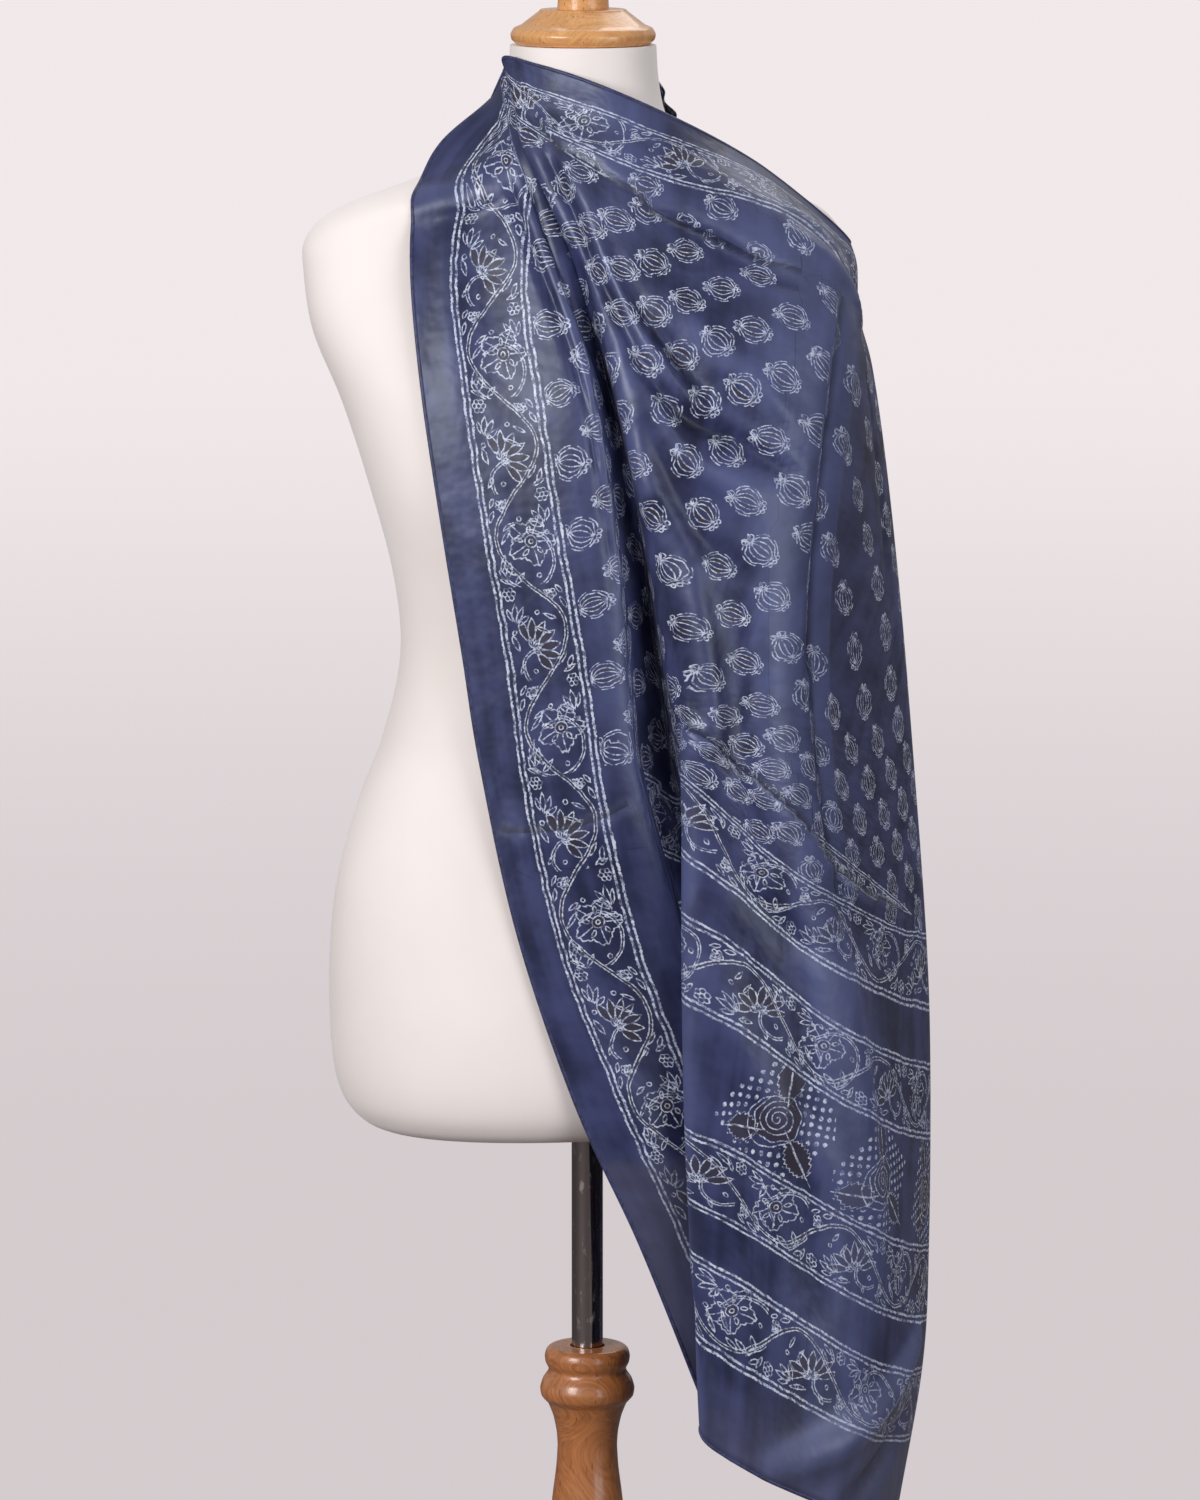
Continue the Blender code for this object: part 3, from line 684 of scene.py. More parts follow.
# ---- stole: its print ----------------------------------------------------------------------------
# A hand-blocked wax-resist print: borders with a scrolling vine of lotus and poppy between double
# lines, a field of seed pods, and rows of roses among dots. Each line is worked out from its
# distance in mm on the flat cloth, and each motif is a node group of its own.
BORDER_MIDDLE, BORDER_HALF = 60.4, 28.1
LINE_GAP = 4.0
THIN_HALF_WIDTHS, BOLD_HALF_WIDTHS = (0.16, 0.6), (0.45, 1.15)
PRINT_WANDER = 3.4
LEAST_RISE = 0.2
VINE_HALF_WIDTH = 24.5
VINE_MARGIN = LINE_GAP + 0.6
VINE_HALF_PERIOD = 68.5
VINE_SWING = 20.5
SIDE_PHASE, TOP_PHASE = 32.0, 104.0
STEM_HALF_WIDTH, STALK_HALF_WIDTH = 1.05, 0.9
VINE_LEAVES = [
    # tip, root, half width, whether brown is brushed into it
    ((12, 9), (25, 7), 1.9, False), ((15, 15), (26, 8), 1.8, False),
    ((22, 18), (28, 9), 1.6, False), ((15, 3), (24, 5), 1.4, False),
    ((12, 44), (20, 47.5), 1.5, False), ((5, 33), (11, 40), 1.6, False),
    ((3, 42), (9, 46), 1.3, False), ((55, 46), (64, 42), 1.6, False),
    ((52, 42), (60, 35), 1.5, True), ((62, 47), (66, 38), 1.4, False),
    ((30, 22), (36, 33), 1.1, False), ((22, 30), (27, 38), 1.2, False),
]
VINE_BUDS = [
    # middle of a ring of berries, their count, one berry's place from the middle, its radius
    ((4.5, 6.0), 6, (3.2, 0), 1.7), ((8.5, 38.0), 5, (2.6, 0), 1.4),
]
VINE_CURLS, CURL_RADIUS = [(33, 5.5), (62, 17), (20, 25.5)], 1.5
LOTUS_HEART, POPPY_HEART = (45, 17), (37, 19)
LOTUS_LEAVES = [((35, 4.5), (46, 8), 1.7), ((62, 5), (56, 10), 1.2)]
POPPY_LEAVES = [((50, 36), (61, 40), 1.7), ((44, 39), (55, 43), 1.4), ((58, 28), (65, 35), 1.5),
                ((27, 32), (36, 40), 1.3)]
POD_PITCH = 52.0
POD_ORIGIN = (101.0, 100.0)
POD_TILT, POD_SQUASH = 0.3, (0.92, 1.15)
POD_TURN, POD_TURN_ZONE, POD_TURN_SLANT = 1.0, (311.0, 341.0), 0.3
POD_SCALE = (1.22, 1.13, 0)
POD_CURLS = [((13.6, 0), 1.5), ((12.8, 3.8), 1.5), ((-13.0, 2.9), 2.1)]
POD_BARE_SHARE = 0.3
ROSE_PITCH = 104.0
ROSE_ORIGIN = (521.0, 772.0)
ROSE_SCALE = 1.35
ROSE_TURN = math.radians(-22.0)
ROSE_LEAVES = [((1, -34), (3, -9), 7.6), ((-29, 6), (-9, 7), 6.8), ((22, 28), (8, 9), 6.6)]
LEAF_RIB, COIL_PITCH = 0.25, 3.1
DOT_PITCH, DOT_RADIUS, DOT_ROWS, DOT_MARGIN = 4.7, 0.95, 8, 2.0
CROSS_BANDS = [
    # distance from the top edge at the band's two sides, and where its vine starts, in mm
    (580.0, 637.0, 98.0), (673.0, 730.0, 177.0), (811.0, 868.0, 146.0), (904.0, 961.0, 112.0),
]
FIELD_START = 91.0
CROSS_START, REAR_START = 195.0, 97.0
ZONE_MARGIN = 2.0
FAR = 900.0


def seen_from(point, centre, angle):
    """A point's place in axes that are moved to a centre and turned about it."""
    return point.draft.read("ShaderNodeMapping", "Vector", {
        "Vector": point, "Location": (*centre, 0), "Rotation": (0, 0, angle),
    }, vector_type="TEXTURE")


def rotated(point, angle):
    return point.draft.read("ShaderNodeVectorRotate", "Vector", {"Vector": point, "Angle": angle},
                            rotation_type="Z_AXIS")


def polar(point):
    """A point's distance from the middle, and its angle about it."""
    x, y, _ = point.draft.parts(point)
    return point.apply("LENGTH"), y.apply("ARCTAN2", x)


def leaf(point, tip, root, half_width):
    """Signed distance to a leaf with two pointed ends."""
    along = Vector((root[0] - tip[0], root[1] - tip[1]))
    half = along.length / 2
    radius = (half * half + half_width * half_width) / (2 * half_width)
    middle = ((root[0] + tip[0]) / 2, (root[1] + tip[1]) / 2)
    folded = abs(seen_from(point, middle, math.atan2(along.y, along.x)))
    return (folded + (0, radius - half_width, 0)).apply("LENGTH") - radius


def disc(point, centre, radius):
    """Signed distance to a disc."""
    return point.apply("DISTANCE", (*centre, 0)) - radius


def stalk(point, centre, radius, towards, reach):
    """Distance to a thin curved stalk: the part of a ring on one side of a straight cut."""
    x, y = Vector(towards).normalized()
    side = (point - (*centre, 0)).apply("DOT_PRODUCT", (-x, -y, 0))
    ring = abs(disc(point, centre, radius)).apply("MAXIMUM", side + reach)
    return abs(ring - STALK_HALF_WIDTH)


def nearer(first, second):
    return second if first is None else first.apply("MINIMUM", second)


class Stencil:
    """Gathers a motif's outlines and its filled shapes as two smallest distances."""

    def __init__(self):
        self.lines = self.fills = None

    def line(self, distance):
        self.lines = nearer(self.lines, distance)

    def outline(self, distance, filled=False):
        if filled:
            self.fills = nearer(self.fills, distance)
        self.line(abs(distance))


def fan(point, centre, axis, count):
    """Turn a point about a centre, so that one petal drawn along X is repeated all round."""
    radius, angle = polar(seen_from(point, centre, math.radians(axis)))
    return spread_out(radius, angle, count, math.tau / count)


def spread_out(radius, angle, count, spacing):
    """A point at a radius and angle, turned back by whole steps to the nearest of some petals."""
    steps, most = angle / spacing, (count - 1) / 2
    step = steps.apply("ROUND") if count % 2 else steps.apply("FLOOR") + 0.5
    turn = angle - step.apply("MINIMUM", most).apply("MAXIMUM", -most) * spacing
    return radius.draft.point(radius * turn.apply("COSINE"), radius * turn.apply("SINE"))


def unsheared(point, centre, lead, mixed, other):
    """The true place of a point beside a centre, where the cloth's two ways are squeezed and lean
    together: a motif then keeps its shape as a printing block gives it."""
    across, down, _ = point.draft.parts(point - (*centre, 0))
    lean = mixed / lead
    rise = (other * other - lean * lean).apply("MAXIMUM", LEAST_RISE ** 2).apply("SQRT")
    return point.draft.point(across * lead + down * lean, down * rise) + (*centre, 0)


def new_motif(name, *inputs):
    """The draft of a motif's node group, the values that come into it, and its stencil."""
    return *new_effect(name, inputs, ("Lines", "Fills")), Stencil()


def lotus_motif():
    """A lotus seen from the side, with a fan of petals, on the curl of its own stalk."""
    draft, (point,), stencil = new_motif("lotus", "Point")
    radius, angle = polar(seen_from(point, LOTUS_HEART, math.radians(118)))
    petal = spread_out(radius, angle, 7, math.radians(27))
    stencil.outline(leaf(petal, (21.0, 0), (5.0, 0), 2.75), filled=True)
    stencil.outline(leaf(petal, (6.0, 0), (1.0, 0), 0.9))
    stencil.line(stalk(point, (60, 22.5), 14.0, (0.45, -0.9), -3.5))
    for tip, root, half_width in LOTUS_LEAVES:
        stencil.outline(leaf(point, tip, root, half_width))
    return draft.give(lines=stencil.lines, fills=stencil.fills)


def poppy_motif():
    """An open poppy with five frilled petals, on the curl of its own stalk."""
    draft, (point,), stencil = new_motif("poppy", "Point")
    radius, angle = polar(point - (*POPPY_HEART, 0))
    lobes = (angle * 5.0 + 0.8).apply("COSINE") * 2.3
    frill = (angle + 4.0).apply("PINGPONG", 0.14) * 9.0
    rim = radius - 14.6 - lobes - frill
    stencil.outline(rim * 0.7)
    partings = abs((angle * 2.5 + 0.4).apply("SINE")) * (radius * 0.4)
    stencil.line(partings.apply("MAXIMUM", (5.6 - radius).apply("MAXIMUM", rim + 0.8)))
    petal = fan(point, POPPY_HEART, 100, 5)
    stencil.outline(leaf(petal, (11.5, 1.6), (6.0, 0), 1.3), filled=True)
    stencil.outline(disc(point, POPPY_HEART, 4.4), filled=True)
    stencil.outline(disc(point, POPPY_HEART, 1.6))
    stencil.line(stalk(point, (49, 24.5), 20.5, (0.5, -0.85), -6.0))
    for tip, root, half_width in POPPY_LEAVES:
        stencil.outline(leaf(point, tip, root, half_width))
    return draft.give(lines=stencil.lines, fills=stencil.fills)


def vine_motif():
    """A scrolling vine, drawn over one half period and turned over in every second one."""
    draft, (along, across, lead, mixed, other), stencil = new_motif(
        "vine", "Along", "Across", "Lead", "Mixed", "Other")
    halves = along / VINE_HALF_PERIOD
    odd = halves.apply("FLOOR").apply("FLOORED_MODULO", 2.0)
    along = halves.apply("FRACT") * VINE_HALF_PERIOD
    flip = 1.0 - odd * 2.0
    out = across * flip
    phase = along * (math.pi / VINE_HALF_PERIOD)
    slope = phase.apply("COSINE") * (VINE_SWING * math.pi / VINE_HALF_PERIOD)
    stem = (out - phase.apply("SINE") * VINE_SWING) / (slope * slope + 1.0).apply("SQRT")
    stencil.outline(abs(stem) - STEM_HALF_WIDTH, filled=True)
    point = draft.point(along, out + VINE_HALF_WIDTH)
    for tip, root, half_width, filled in VINE_LEAVES:
        stencil.outline(leaf(point, tip, root, half_width), filled)
    for centre, count, berry, radius in VINE_BUDS:
        stencil.outline(disc(fan(point, centre, 0, count), berry, radius))
    for curl in VINE_CURLS:
        stencil.outline(disc(point, curl, CURL_RADIUS))
    flowers = [draft.effect(motif, unsheared(point, heart, lead, mixed * flip, other))
               for motif, heart in ((lotus, LOTUS_HEART), (poppy, POPPY_HEART))]
    lines, fills = [draft.choose(odd, first, second) for first, second in zip(*flowers)]
    return draft.give(lines=nearer(stencil.lines, lines), fills=nearer(stencil.fills, fills))


def pod_motif():
    """A round seed pod with its ribs, crown and two curled sepals; every pod differs a little."""
    draft, (across, down, metric), stencil = new_motif("seed_pod", "Across", "Down", "Metric")
    beyond = across - down * POD_TURN_SLANT
    across, down = [(way - start) / POD_PITCH for way, start in zip((across, down), POD_ORIGIN)]
    first, second = across + down, across - down
    first_cell, second_cell = first.apply("ROUND"), second.apply("ROUND")
    first, second = first - first_cell, second - second_cell
    chance = draft.read("ShaderNodeTexWhiteNoise", "Value",
                        {"Vector": draft.point(first_cell, second_cell)}, noise_dimensions="2D")
    point = draft.point((first + second) * (POD_PITCH / 2), (first - second) * (POD_PITCH / 2))
    point = unsheared(point, (0, 0), *draft.parts(metric))
    tilt = (draft.ramp(chance, 0.0, 1.0, -POD_TILT, POD_TILT)
            + draft.ramp(beyond, *POD_TURN_ZONE, 0.0, -POD_TURN))
    point = rotated(point, tilt) * draft.point(1.0, draft.ramp(chance, 0.0, 1.0, *POD_SQUASH), 1.0)
    point = point * POD_SCALE
    radius, angle = polar(point)
    stencil.line(abs(radius - 10.4 + (angle * 8.0).apply("SINE") * 0.35))
    rind, core = leaf(point, (10, 0), (-10, 0), 6.4), leaf(point, (9.5, 0), (-9.5, 0), 2.6)
    stencil.outline(rind)
    stencil.outline(core)
    dashes = abs((angle * 2.5 + 0.7).apply("SINE"))
    stencil.line(abs(radius - 12.6).apply("MAXIMUM", (0.5 - dashes) * 9.0))
    x, y, _ = draft.parts(point)
    mirrored = draft.point(x, abs(y))
    for centre, size in POD_CURLS:
        stencil.outline(disc(mirrored, centre, size))
    stencil.outline(leaf(mirrored, (-16.0, 3.0), (-11.5, 0), 0.9))
    bare = chance.apply("LESS_THAN", POD_BARE_SHARE) * FAR
    return draft.give(lines=stencil.lines, fills=rind.apply("MAXIMUM", core * -1.0) + bare)


def rose_motif():
    """A rose with a coiled heart, a bud and three toothed leaves, set in a diamond of dots."""
    draft, (across, down, metric), stencil = new_motif("rose", "Across", "Down", "Metric")
    cells = (across - ROSE_ORIGIN[0]) / ROSE_PITCH
    nearest = cells.apply("ROUND").apply("MAXIMUM", 0.0)
    point = draft.point((cells - nearest) * ROSE_PITCH, down - ROSE_ORIGIN[1])
    point = unsheared(point, (0, 0), *draft.parts(metric)) * (1 / ROSE_SCALE, 1 / ROSE_SCALE, 0)
    point = rotated(point, -ROSE_TURN)
    radius, angle = polar(point)
    coil = (radius / COIL_PITCH - angle / math.tau).apply("FRACT")
    stencil.line((abs(coil - 0.5) * COIL_PITCH).apply("MAXIMUM", radius - 9.8))
    bloom = radius - 12.4 + (angle * 7.0).apply("SINE") * 0.5
    stencil.outline(bloom, filled=True)
    outer = disc(point, (-2.6, 1.8), 13.6)
    stencil.line(abs(outer).apply("MAXIMUM", 0.6 - bloom))
    leaves = None
    for tip, root, half_width in ROSE_LEAVES:
        leaves = nearer(leaves, leaf(point, tip, root, half_width))
        stencil.line(leaf(point, tip, root, LEAF_RIB))
    teeth = point.apply("DOT_PRODUCT", (0.8, 0.6, 0)).apply("PINGPONG", 1.3) - 0.6
    stencil.outline(leaves + teeth, filled=True)
    hidden = DOT_MARGIN - stencil.fills.apply("MINIMUM", outer)
    dots = point / (DOT_PITCH, DOT_PITCH, 1)
    cell = (dots + (0.5, 0.5, 0)).apply("FLOOR")
    dot = ((dots - cell) * (1, 1, 0)).apply("LENGTH") * DOT_PITCH - DOT_RADIUS
    outside = abs(cell).apply("DOT_PRODUCT", (1, 1, 0)).apply("GREATER_THAN", DOT_ROWS + 0.5)
    stencil.line(dot.apply("MAXIMUM", hidden).apply("MAXIMUM", 0.0) + outside * FAR)
    return draft.give(lines=stencil.lines * ROSE_SCALE, fills=stencil.fills * ROSE_SCALE)


lotus, poppy = lotus_motif(), poppy_motif()
vine, seed_pod, rose = vine_motif(), pod_motif(), rose_motif()


def double_line(value, middle, half):
    """How far a value is from the middle of a band, and from the two lines at each side of it."""
    away = abs(value - middle)
    return away, abs(abs(away - (half - LINE_GAP / 2)) - LINE_GAP / 2)


def block_print():
    """The whole print: which zone a point lies in, and how near it is to that zone's lines."""
    draft, (across, down, rear, metric) = new_effect(
        "block_print", ("Across", "Down", "Rear", "Metric"), ("Wax", "Brown"))
    flat = draft.point(across, down)
    wander = draft.read("ShaderNodeTexNoise", "Color",
                        {"Vector": flat, "Scale": 0.055, "Detail": 1.0})
    wander = draft.work_out(True, "SUBTRACT", wander, (0.5, 0.5, 0.5))
    flat = flat + wander * (PRINT_WANDER, PRINT_WANDER, 0)
    across, down, _ = draft.parts(flat)
    edge = nearer(across, rear)
    on_top = down.apply("LESS_THAN", edge)
    border = nearer(edge, down)
    along = draft.choose(on_top, down - SIDE_PHASE, across - TOP_PHASE)
    away, lines = double_line(border, BORDER_MIDDLE, BORDER_HALF)
    in_vine = away.apply("LESS_THAN", BORDER_HALF - VINE_MARGIN)
    out = (border - BORDER_MIDDLE) * (VINE_HALF_WIDTH / (BORDER_HALF - VINE_MARGIN))
    out = out * (on_top * -2.0 + 1.0)
    inner = across.apply("GREATER_THAN", CROSS_START) * rear.apply("GREATER_THAN", REAR_START)
    for start, end, phase in CROSS_BANDS:
        middle, half = (start + end) / 2, (end - start) / 2
        away, pair = double_line(down, middle, half)
        lines = nearer(lines, pair + (1.0 - inner) * FAR)
        here = inner * away.apply("LESS_THAN", half - VINE_MARGIN)
        out = draft.choose(here, out, (middle - down) * (VINE_HALF_WIDTH / (half - VINE_MARGIN)))
        along = draft.choose(here, along, across - phase)
        in_vine = in_vine.apply("MAXIMUM", here)
        on_top = on_top.apply("MAXIMUM", here)
    by_across, mixed, by_down = draft.parts(metric)
    scroll = draft.effect(vine, along, out, draft.choose(on_top, by_down, by_across),
                          mixed * (on_top * -2.0 + 1.0), draft.choose(on_top, by_across, by_down))
    in_field = (border.apply("GREATER_THAN", FIELD_START)
                * down.apply("LESS_THAN", CROSS_BANDS[0][0] - ZONE_MARGIN))
    rose_start, rose_end = CROSS_BANDS[1][1], CROSS_BANDS[2][0]
    in_roses = inner * abs(down - (rose_start + rose_end) / 2).apply(
        "LESS_THAN", (rose_end - rose_start) / 2 - ZONE_MARGIN)
    motif = fills = None
    for zone, drawn in ((in_vine, scroll), (in_field, draft.effect(seed_pod, across, down, metric)),
                        (in_roses, draft.effect(rose, across, down, metric))):
        elsewhere = (1.0 - zone) * FAR
        motif, fills = nearer(motif, drawn[0] + elsewhere), nearer(fills, drawn[1] + elsewhere)
    uneven = draft.noise(flat, 0.55)
    thin = draft.ramp(motif - draft.ramp(uneven, 0.3, 0.7, *THIN_HALF_WIDTHS), -0.18, 0.22, 1.0, 0.0)
    bold = draft.ramp(lines - draft.ramp(uneven, 0.3, 0.7, *BOLD_HALF_WIDTHS), -0.2, 0.25, 1.0, 0.0)
    worn = draft.ramp(draft.noise(flat, 0.24, 3.0, 0.65), 0.36, 0.58, 0.12, 1.0)
    return draft.give(wax=thin.apply("MAXIMUM", bold) * worn,
                      brown=draft.ramp(fills, -0.5, -0.1, 1.0, 0.0))


PRINT = block_print()

# ---- stole: its silk -----------------------------------------------------------------------------
# Thin plain-woven silk, dyed indigo by hand: the dye lies in soft clouds and long streaks, the wax
# lines stay a pale blue, and brown is brushed into the stems and petals.
# Light and shade are painted in too: painted shade in the hollows and on one side of each crease, a
# painted sheen on the ridges, and a painted backlight that greys the single layer below the form and
# the cloth near the hem.
# Heights in metres where the form ends and where the hem nears, and a span in mm from the side edge:
# together they bound the painted backlight
FORM_END, HEM_END = (0.778, 0.762), (0.64, 0.54)
SINGLE_LAYER = (250, 200)
DEEP_SHADE = colour(14, 14, 26)
silk, draft = new_finish("indigo_silk", roughness=0.4, sheen_weight=0.05, sheen_roughness=0.35,
                         specular_tint=(0.8, 0.86, 1.0, 1.0))
flat_mm, rear_mm = [draft.read("ShaderNodeUVMap", "UV", uv_map=uv_name) * (1000, 1000, 0)
                    for uv_name in ("flat", "rear")]
hollow_mm, crease_mm = [draft.read("ShaderNodeAttribute", "Fac", attribute_name=mark)
                        for mark in ("hollow", "crease")]
weave = draft.read("ShaderNodeAttribute", "Vector", attribute_name="metric")
from_side, from_top, _ = draft.parts(flat_mm)
wax, brown = draft.effect(PRINT, from_side, from_top, draft.parts(rear_mm)[0], weave)
dye = draft.noise(flat_mm, 0.021, 3.0, 0.55) * 0.6 + draft.noise(flat_mm * (1, 0.08, 1), 0.07) * 0.4
tone = draft.blend(draft.ramp(dye, 0.36, 0.64), colour(29, 32, 62), colour(57, 62, 102))
tone = draft.blend(brown * 0.7, tone, colour(50, 42, 46))
wax_tone = draft.blend(draft.noise(flat_mm, 0.12), colour(158, 172, 204), colour(218, 221, 232))
tone = draft.blend(wax, tone, wax_tone)
# Painted backlight: the single layer below the form, and all the cloth near the hem, turn greyer and
# lighter, as if light from behind showed through
above_floor = draft.parts(draft.place())[2]
painted_backlight = draft.ramp(above_floor, *FORM_END) * draft.ramp(from_side, *SINGLE_LAYER)
painted_backlight = painted_backlight.apply("MAXIMUM", draft.ramp(above_floor, *HEM_END))
tone = draft.blend(painted_backlight * 0.42, tone, colour(80, 80, 98))
# Painted sheen: ridges that stand above the smoothed cloth are lightened. Painted shade: hollows are
# darkened towards DEEP_SHADE
tone = draft.blend(draft.ramp(hollow_mm, -1.0, -6.0, 0.0, 0.22), tone, colour(120, 130, 180))
tone = draft.blend(draft.ramp(hollow_mm, 0.0, 10.0, 0.0, 0.68), tone, DEEP_SHADE)
# Painted shadow on one side of each creased edge, within a few mm of it, darkened towards DEEP_SHADE
shade = draft.ramp(crease_mm, -0.6, 0.3) * draft.ramp(crease_mm, 7.0, 0.5)
slubs = (draft.noise(flat_mm * (3.0, 0.12, 1.0), 1.0, 1.0)
         + draft.noise(flat_mm * (0.12, 3.0, 1.0), 1.0, 1.0))
draft.give(base_color=draft.blend(shade * 0.6, tone, DEEP_SHADE),
           normal=draft.bump(slubs * 0.02 + draft.noise(flat_mm, 0.045), 0.5, 2.2 * MM))


def cloth_piece(name, points, uvs, marks, metric, finish, *replaced):
    """A thin cloth shell: a grid moved onto its points, with its places on the flat cloth in metres
    as UVs and the depths of its hollows and creases in mm as attributes, which the silk uses for its
    painted shade, painted sheen and painted crease shadows."""
    rows, sides = points.shape[0] - 1, points.shape[1] - 1
    work = bmesh.new()
    bmesh.ops.create_grid(work, x_segments=sides, y_segments=rows, size=0.5)
    layers = {key: work.verts.layers.float.new(key) for key in marks}
    ways = work.verts.layers.float_vector.new("metric")
    spots = {}
    for vert, across, down in grid_places(work):
        spot = spots[vert] = (round(down * rows), round(across * sides))
        vert.co = points[spot]
        vert[ways] = metric[spot]
        for key, layer in layers.items():
            vert[layer] = marks[key][spot] / MM
    for uv_name, values in uvs.items():
        layer = work.loops.layers.uv.new(uv_name)
        for face in work.faces:
            for loop in face.loops:
                loop[layer].uv = [value[spots[loop.vert]] for value in values]
    piece = add_piece(name, work, finish, "silk", *replaced, smooth_under=180)
    shell = piece.modifiers.new("thickness", "SOLIDIFY")
    shell.thickness = CLOTH
    shell.offset = 0.0
    return piece


stole = cloth_piece("stole_cloth", sheet,
                    {"flat": (across_flat, down_flat), "rear": (rear_flat, down_flat)},
                    {"hollow": hollow, "crease": edge_line}, metric, silk,
                    "stole_left_fall", "stole_front_fall", "stole_back_fall")

# ---- stole: its rolled hem -----------------------------------------------------------------------
# All four edges are rolled by hand into a narrow hem of the same silk, its blue flecked lighter and
# darker along the stitches.
HEM_HALF_WIDTH = 1.6 * MM
HEM_HALF_THICKNESS = 0.9 * MM
HEM_SIDES = 10
HEM_INSET = 0.6


def hem_route():
    """Points round the edge of the cloth, with the way into the cloth and the normal at each."""
    normals = outward_normals(sheet)
    rows, sides = sheet.shape[:2]
    route = [(0, side) for side in range(sides)] + [(row, sides - 1) for row in range(1, rows)]
    route += [(rows - 1, side) for side in range(sides - 2, -1, -1)]
    route += [(row, 0) for row in range(rows - 2, 0, -1)]
    for row, side in route:
        inner = (min(max(row, 1), rows - 2), min(max(side, 1), sides - 2))
        inwards = sheet[inner] - sheet[row, side]
        yield sheet[row, side], inwards / np.linalg.norm(inwards), normals[row, side]


hem_silk, draft = new_finish("hem_silk", roughness=0.5, sheen_weight=0.15)
stitches = draft.noise(draft.place(), 260.0)
thread = draft.blend(draft.ramp(stitches, 0.35, 0.65), colour(28, 31, 66), colour(46, 52, 98))
draft.give(base_color=thread, normal=draft.bump(stitches, 0.5, 0.6 * MM))
stations = list(hem_route())
work = bmesh.new()
bmesh.ops.create_grid(work, x_segments=HEM_SIDES, y_segments=len(stations), size=0.5)
for vert, around, along in grid_places(work):
    edge_point, inwards, normal = stations[round(along * len(stations)) % len(stations)]
    angle = -math.tau * around
    vert.co = (edge_point + inwards * HEM_HALF_WIDTH * (HEM_INSET + math.cos(angle))
               + normal * HEM_HALF_THICKNESS * math.sin(angle))
bmesh.ops.remove_doubles(work, verts=work.verts, dist=MERGE)
bmesh.ops.recalc_face_normals(work, faces=work.faces)
hem = add_piece("stole_hem", work, hem_silk, "silk", smooth_under=60)

# ---- stole: the roll round the nape --------------------------------------------------------------
# The gathered end of the same cloth, laid round the back of the neck; its right end shows beside
# the neck with a piece of the vine border on it.
NAPE_ROLL = np.array([
    # bearing, upper radius, upper height, lower radius, lower height
    (164, 54, 1526, 65, 1494), (142, 54, 1527, 67, 1489), (115, 55, 1528, 72, 1482),
    (90, 56, 1527, 76, 1478), (62, 57, 1524, 78, 1476), (38, 57, 1520, 78, 1476),
    (16, 54, 1512, 72, 1480),
], float)
NAPE_PLEATS = 2
NAPE_PLEAT_DEPTH = 2.4
NAPE_ROWS, NAPE_COLUMNS = 60, 30
NAPE_PRINT_START = (0.034, 0.2)
neck_line = np.array(cap_line) / MM
nape_rows = smooth_shares(len(NAPE_ROLL), np.linspace(0, len(NAPE_ROLL) - 1, NAPE_ROWS + 1))
nape_rows = nape_rows @ NAPE_ROLL
nape_share = np.linspace(0, 1, NAPE_COLUMNS + 1)
nape_radius = nape_rows[:, 1:2] + (nape_rows[:, 3:4] - nape_rows[:, 1:2]) * nape_share
nape_radius = nape_radius + NAPE_PLEAT_DEPTH * np.sin(math.tau * NAPE_PLEATS * nape_share)
nape_height = nape_rows[:, 2:3] + (nape_rows[:, 4:5] - nape_rows[:, 2:3]) * nape_share
bearing = np.radians(nape_rows[:, 0:1])
nape = np.stack([neck_line[0] + nape_radius * np.cos(bearing),
                 neck_line[1] + nape_radius * np.sin(bearing), nape_height], axis=2) * MM
rest_on_form(nape, REST_GAP + CLOTH / 2)
nape_across = arc_lengths(nape, 1) + NAPE_PRINT_START[0]
nape_down = arc_lengths(nape, 0) + NAPE_PRINT_START[1]
nape_roll = cloth_piece("stole_nape", nape,
                        {"flat": (nape_across, nape_down), "rear": (nape_down + 1, nape_down)},
                        {"hollow": nape_across * 0, "crease": nape_across * 0 + NO_CREASE},
                        np.ones_like(nape) * (1, 0, 1), silk, "stole_nape_roll")

float(np.mean(arc_lengths(sheet, 1)[:, -1]) * np.mean(arc_lengths(sheet, 0)[-1]))
nape_size = (float(np.mean(arc_lengths(nape, 1)[:, -1])), float(np.mean(arc_lengths(nape, 0)[-1])))

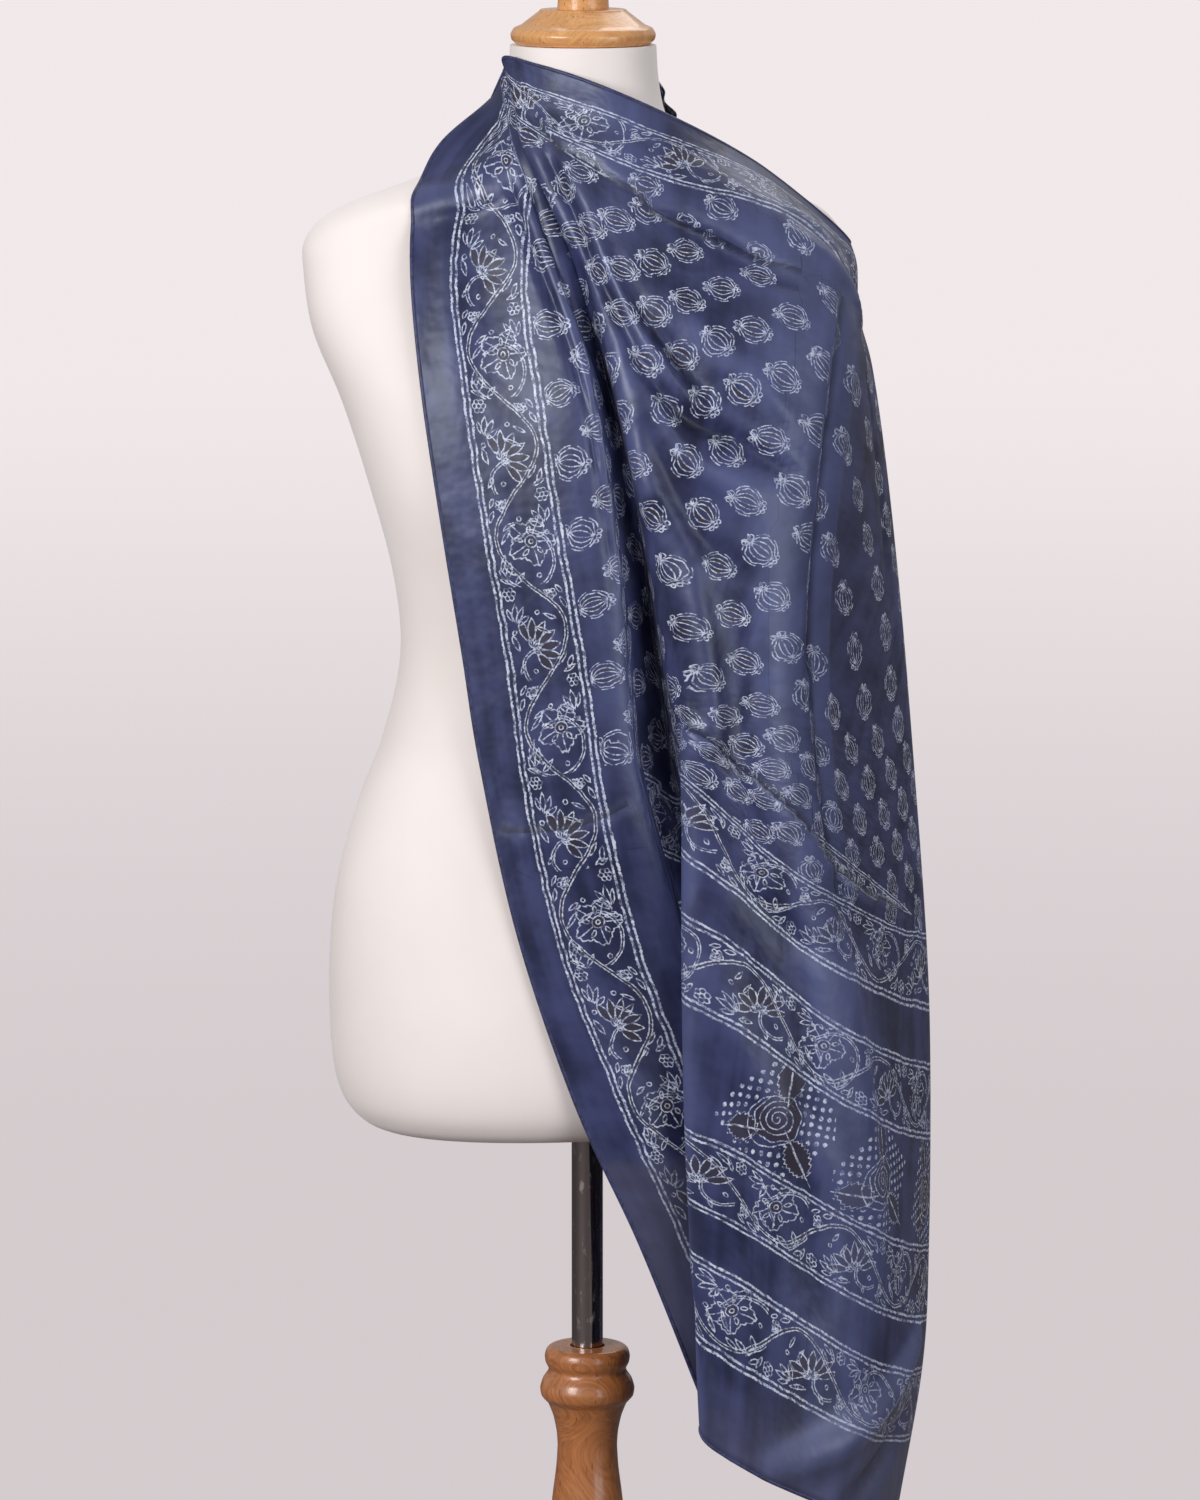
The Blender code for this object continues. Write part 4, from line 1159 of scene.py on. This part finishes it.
# ---- studio --------------------------------------------------------------------------------------
# A plain pale floor under large soft lights, and the camera at the photograph's height, tilt and
# distance. The floor runs on behind the object far enough to fill the picture.
FLOOR_HALF = 45.0
FLOOR_GLOW_NEAR, FLOOR_GLOW_FAR = 0.62, 0.95
FLOOR_NEAR, FLOOR_FAR = 0.8, 13.0
CAMERA_PLACE = (0.0091, -5.0, 1.8265)
CAMERA_PITCH = math.radians(81.1)
CAMERA_LENS = 114.3
LIGHTS = [
    # name, place, aimed at, width in m, power in W, colour
    ("key", (-2.4, -2.9, 2.4), (0, 0, 1.0), 1.6, 118, (1.0, 0.985, 0.97)),
    ("fill", (2.8, -3.2, 1.5), (0, 0, 0.9), 2.4, 62, (0.97, 0.98, 1.0)),
    ("top", (0.6, 1.8, 3.4), (0, 0, 1.2), 2.0, 32, (1.0, 0.98, 0.98)),
]
floor_finish, draft = new_finish("floor_paper", roughness=0.95, base_color=colour(104, 99, 100),
                                 emission_color=colour(237, 228, 230))
seen = draft.read("ShaderNodeLightPath", "Is Camera Ray")
reach = draft.place().apply("LENGTH")
glow = draft.ramp(reach, FLOOR_NEAR, FLOOR_FAR, FLOOR_GLOW_NEAR, FLOOR_GLOW_FAR)
draft.give(emission_strength=seen * glow)
work = bmesh.new()
bmesh.ops.create_grid(work, x_segments=1, y_segments=1, size=FLOOR_HALF)
floor = add_mesh("floor", work, floor_finish)

for name, spot, aim, width, power, tint in LIGHTS:
    lamp = bpy.data.lights.new(name, "AREA")
    lamp.size, lamp.energy, lamp.color = width, power, tint
    holder = add_object(name, lamp)
    holder.location = spot
    holder.rotation_euler = (Vector(aim) - Vector(spot)).to_track_quat("-Z", "Y").to_euler()

world = bpy.data.worlds.new("studio")
world.use_nodes = True
background = Draft(world.node_tree, world.node_tree.nodes["Background"])
background.give(color=(0.86, 0.85, 0.86, 1.0), strength=0.46)
bpy.context.scene.world = world
bpy.context.scene.view_settings.view_transform = "Standard"

lens = bpy.data.cameras.new("camera")
lens.sensor_width, lens.lens, lens.clip_end = 24.0, CAMERA_LENS, 200.0
camera = add_object("camera", lens)
camera.location = CAMERA_PLACE
camera.rotation_euler = (CAMERA_PITCH, 0, 0)
bpy.context.scene.camera = camera
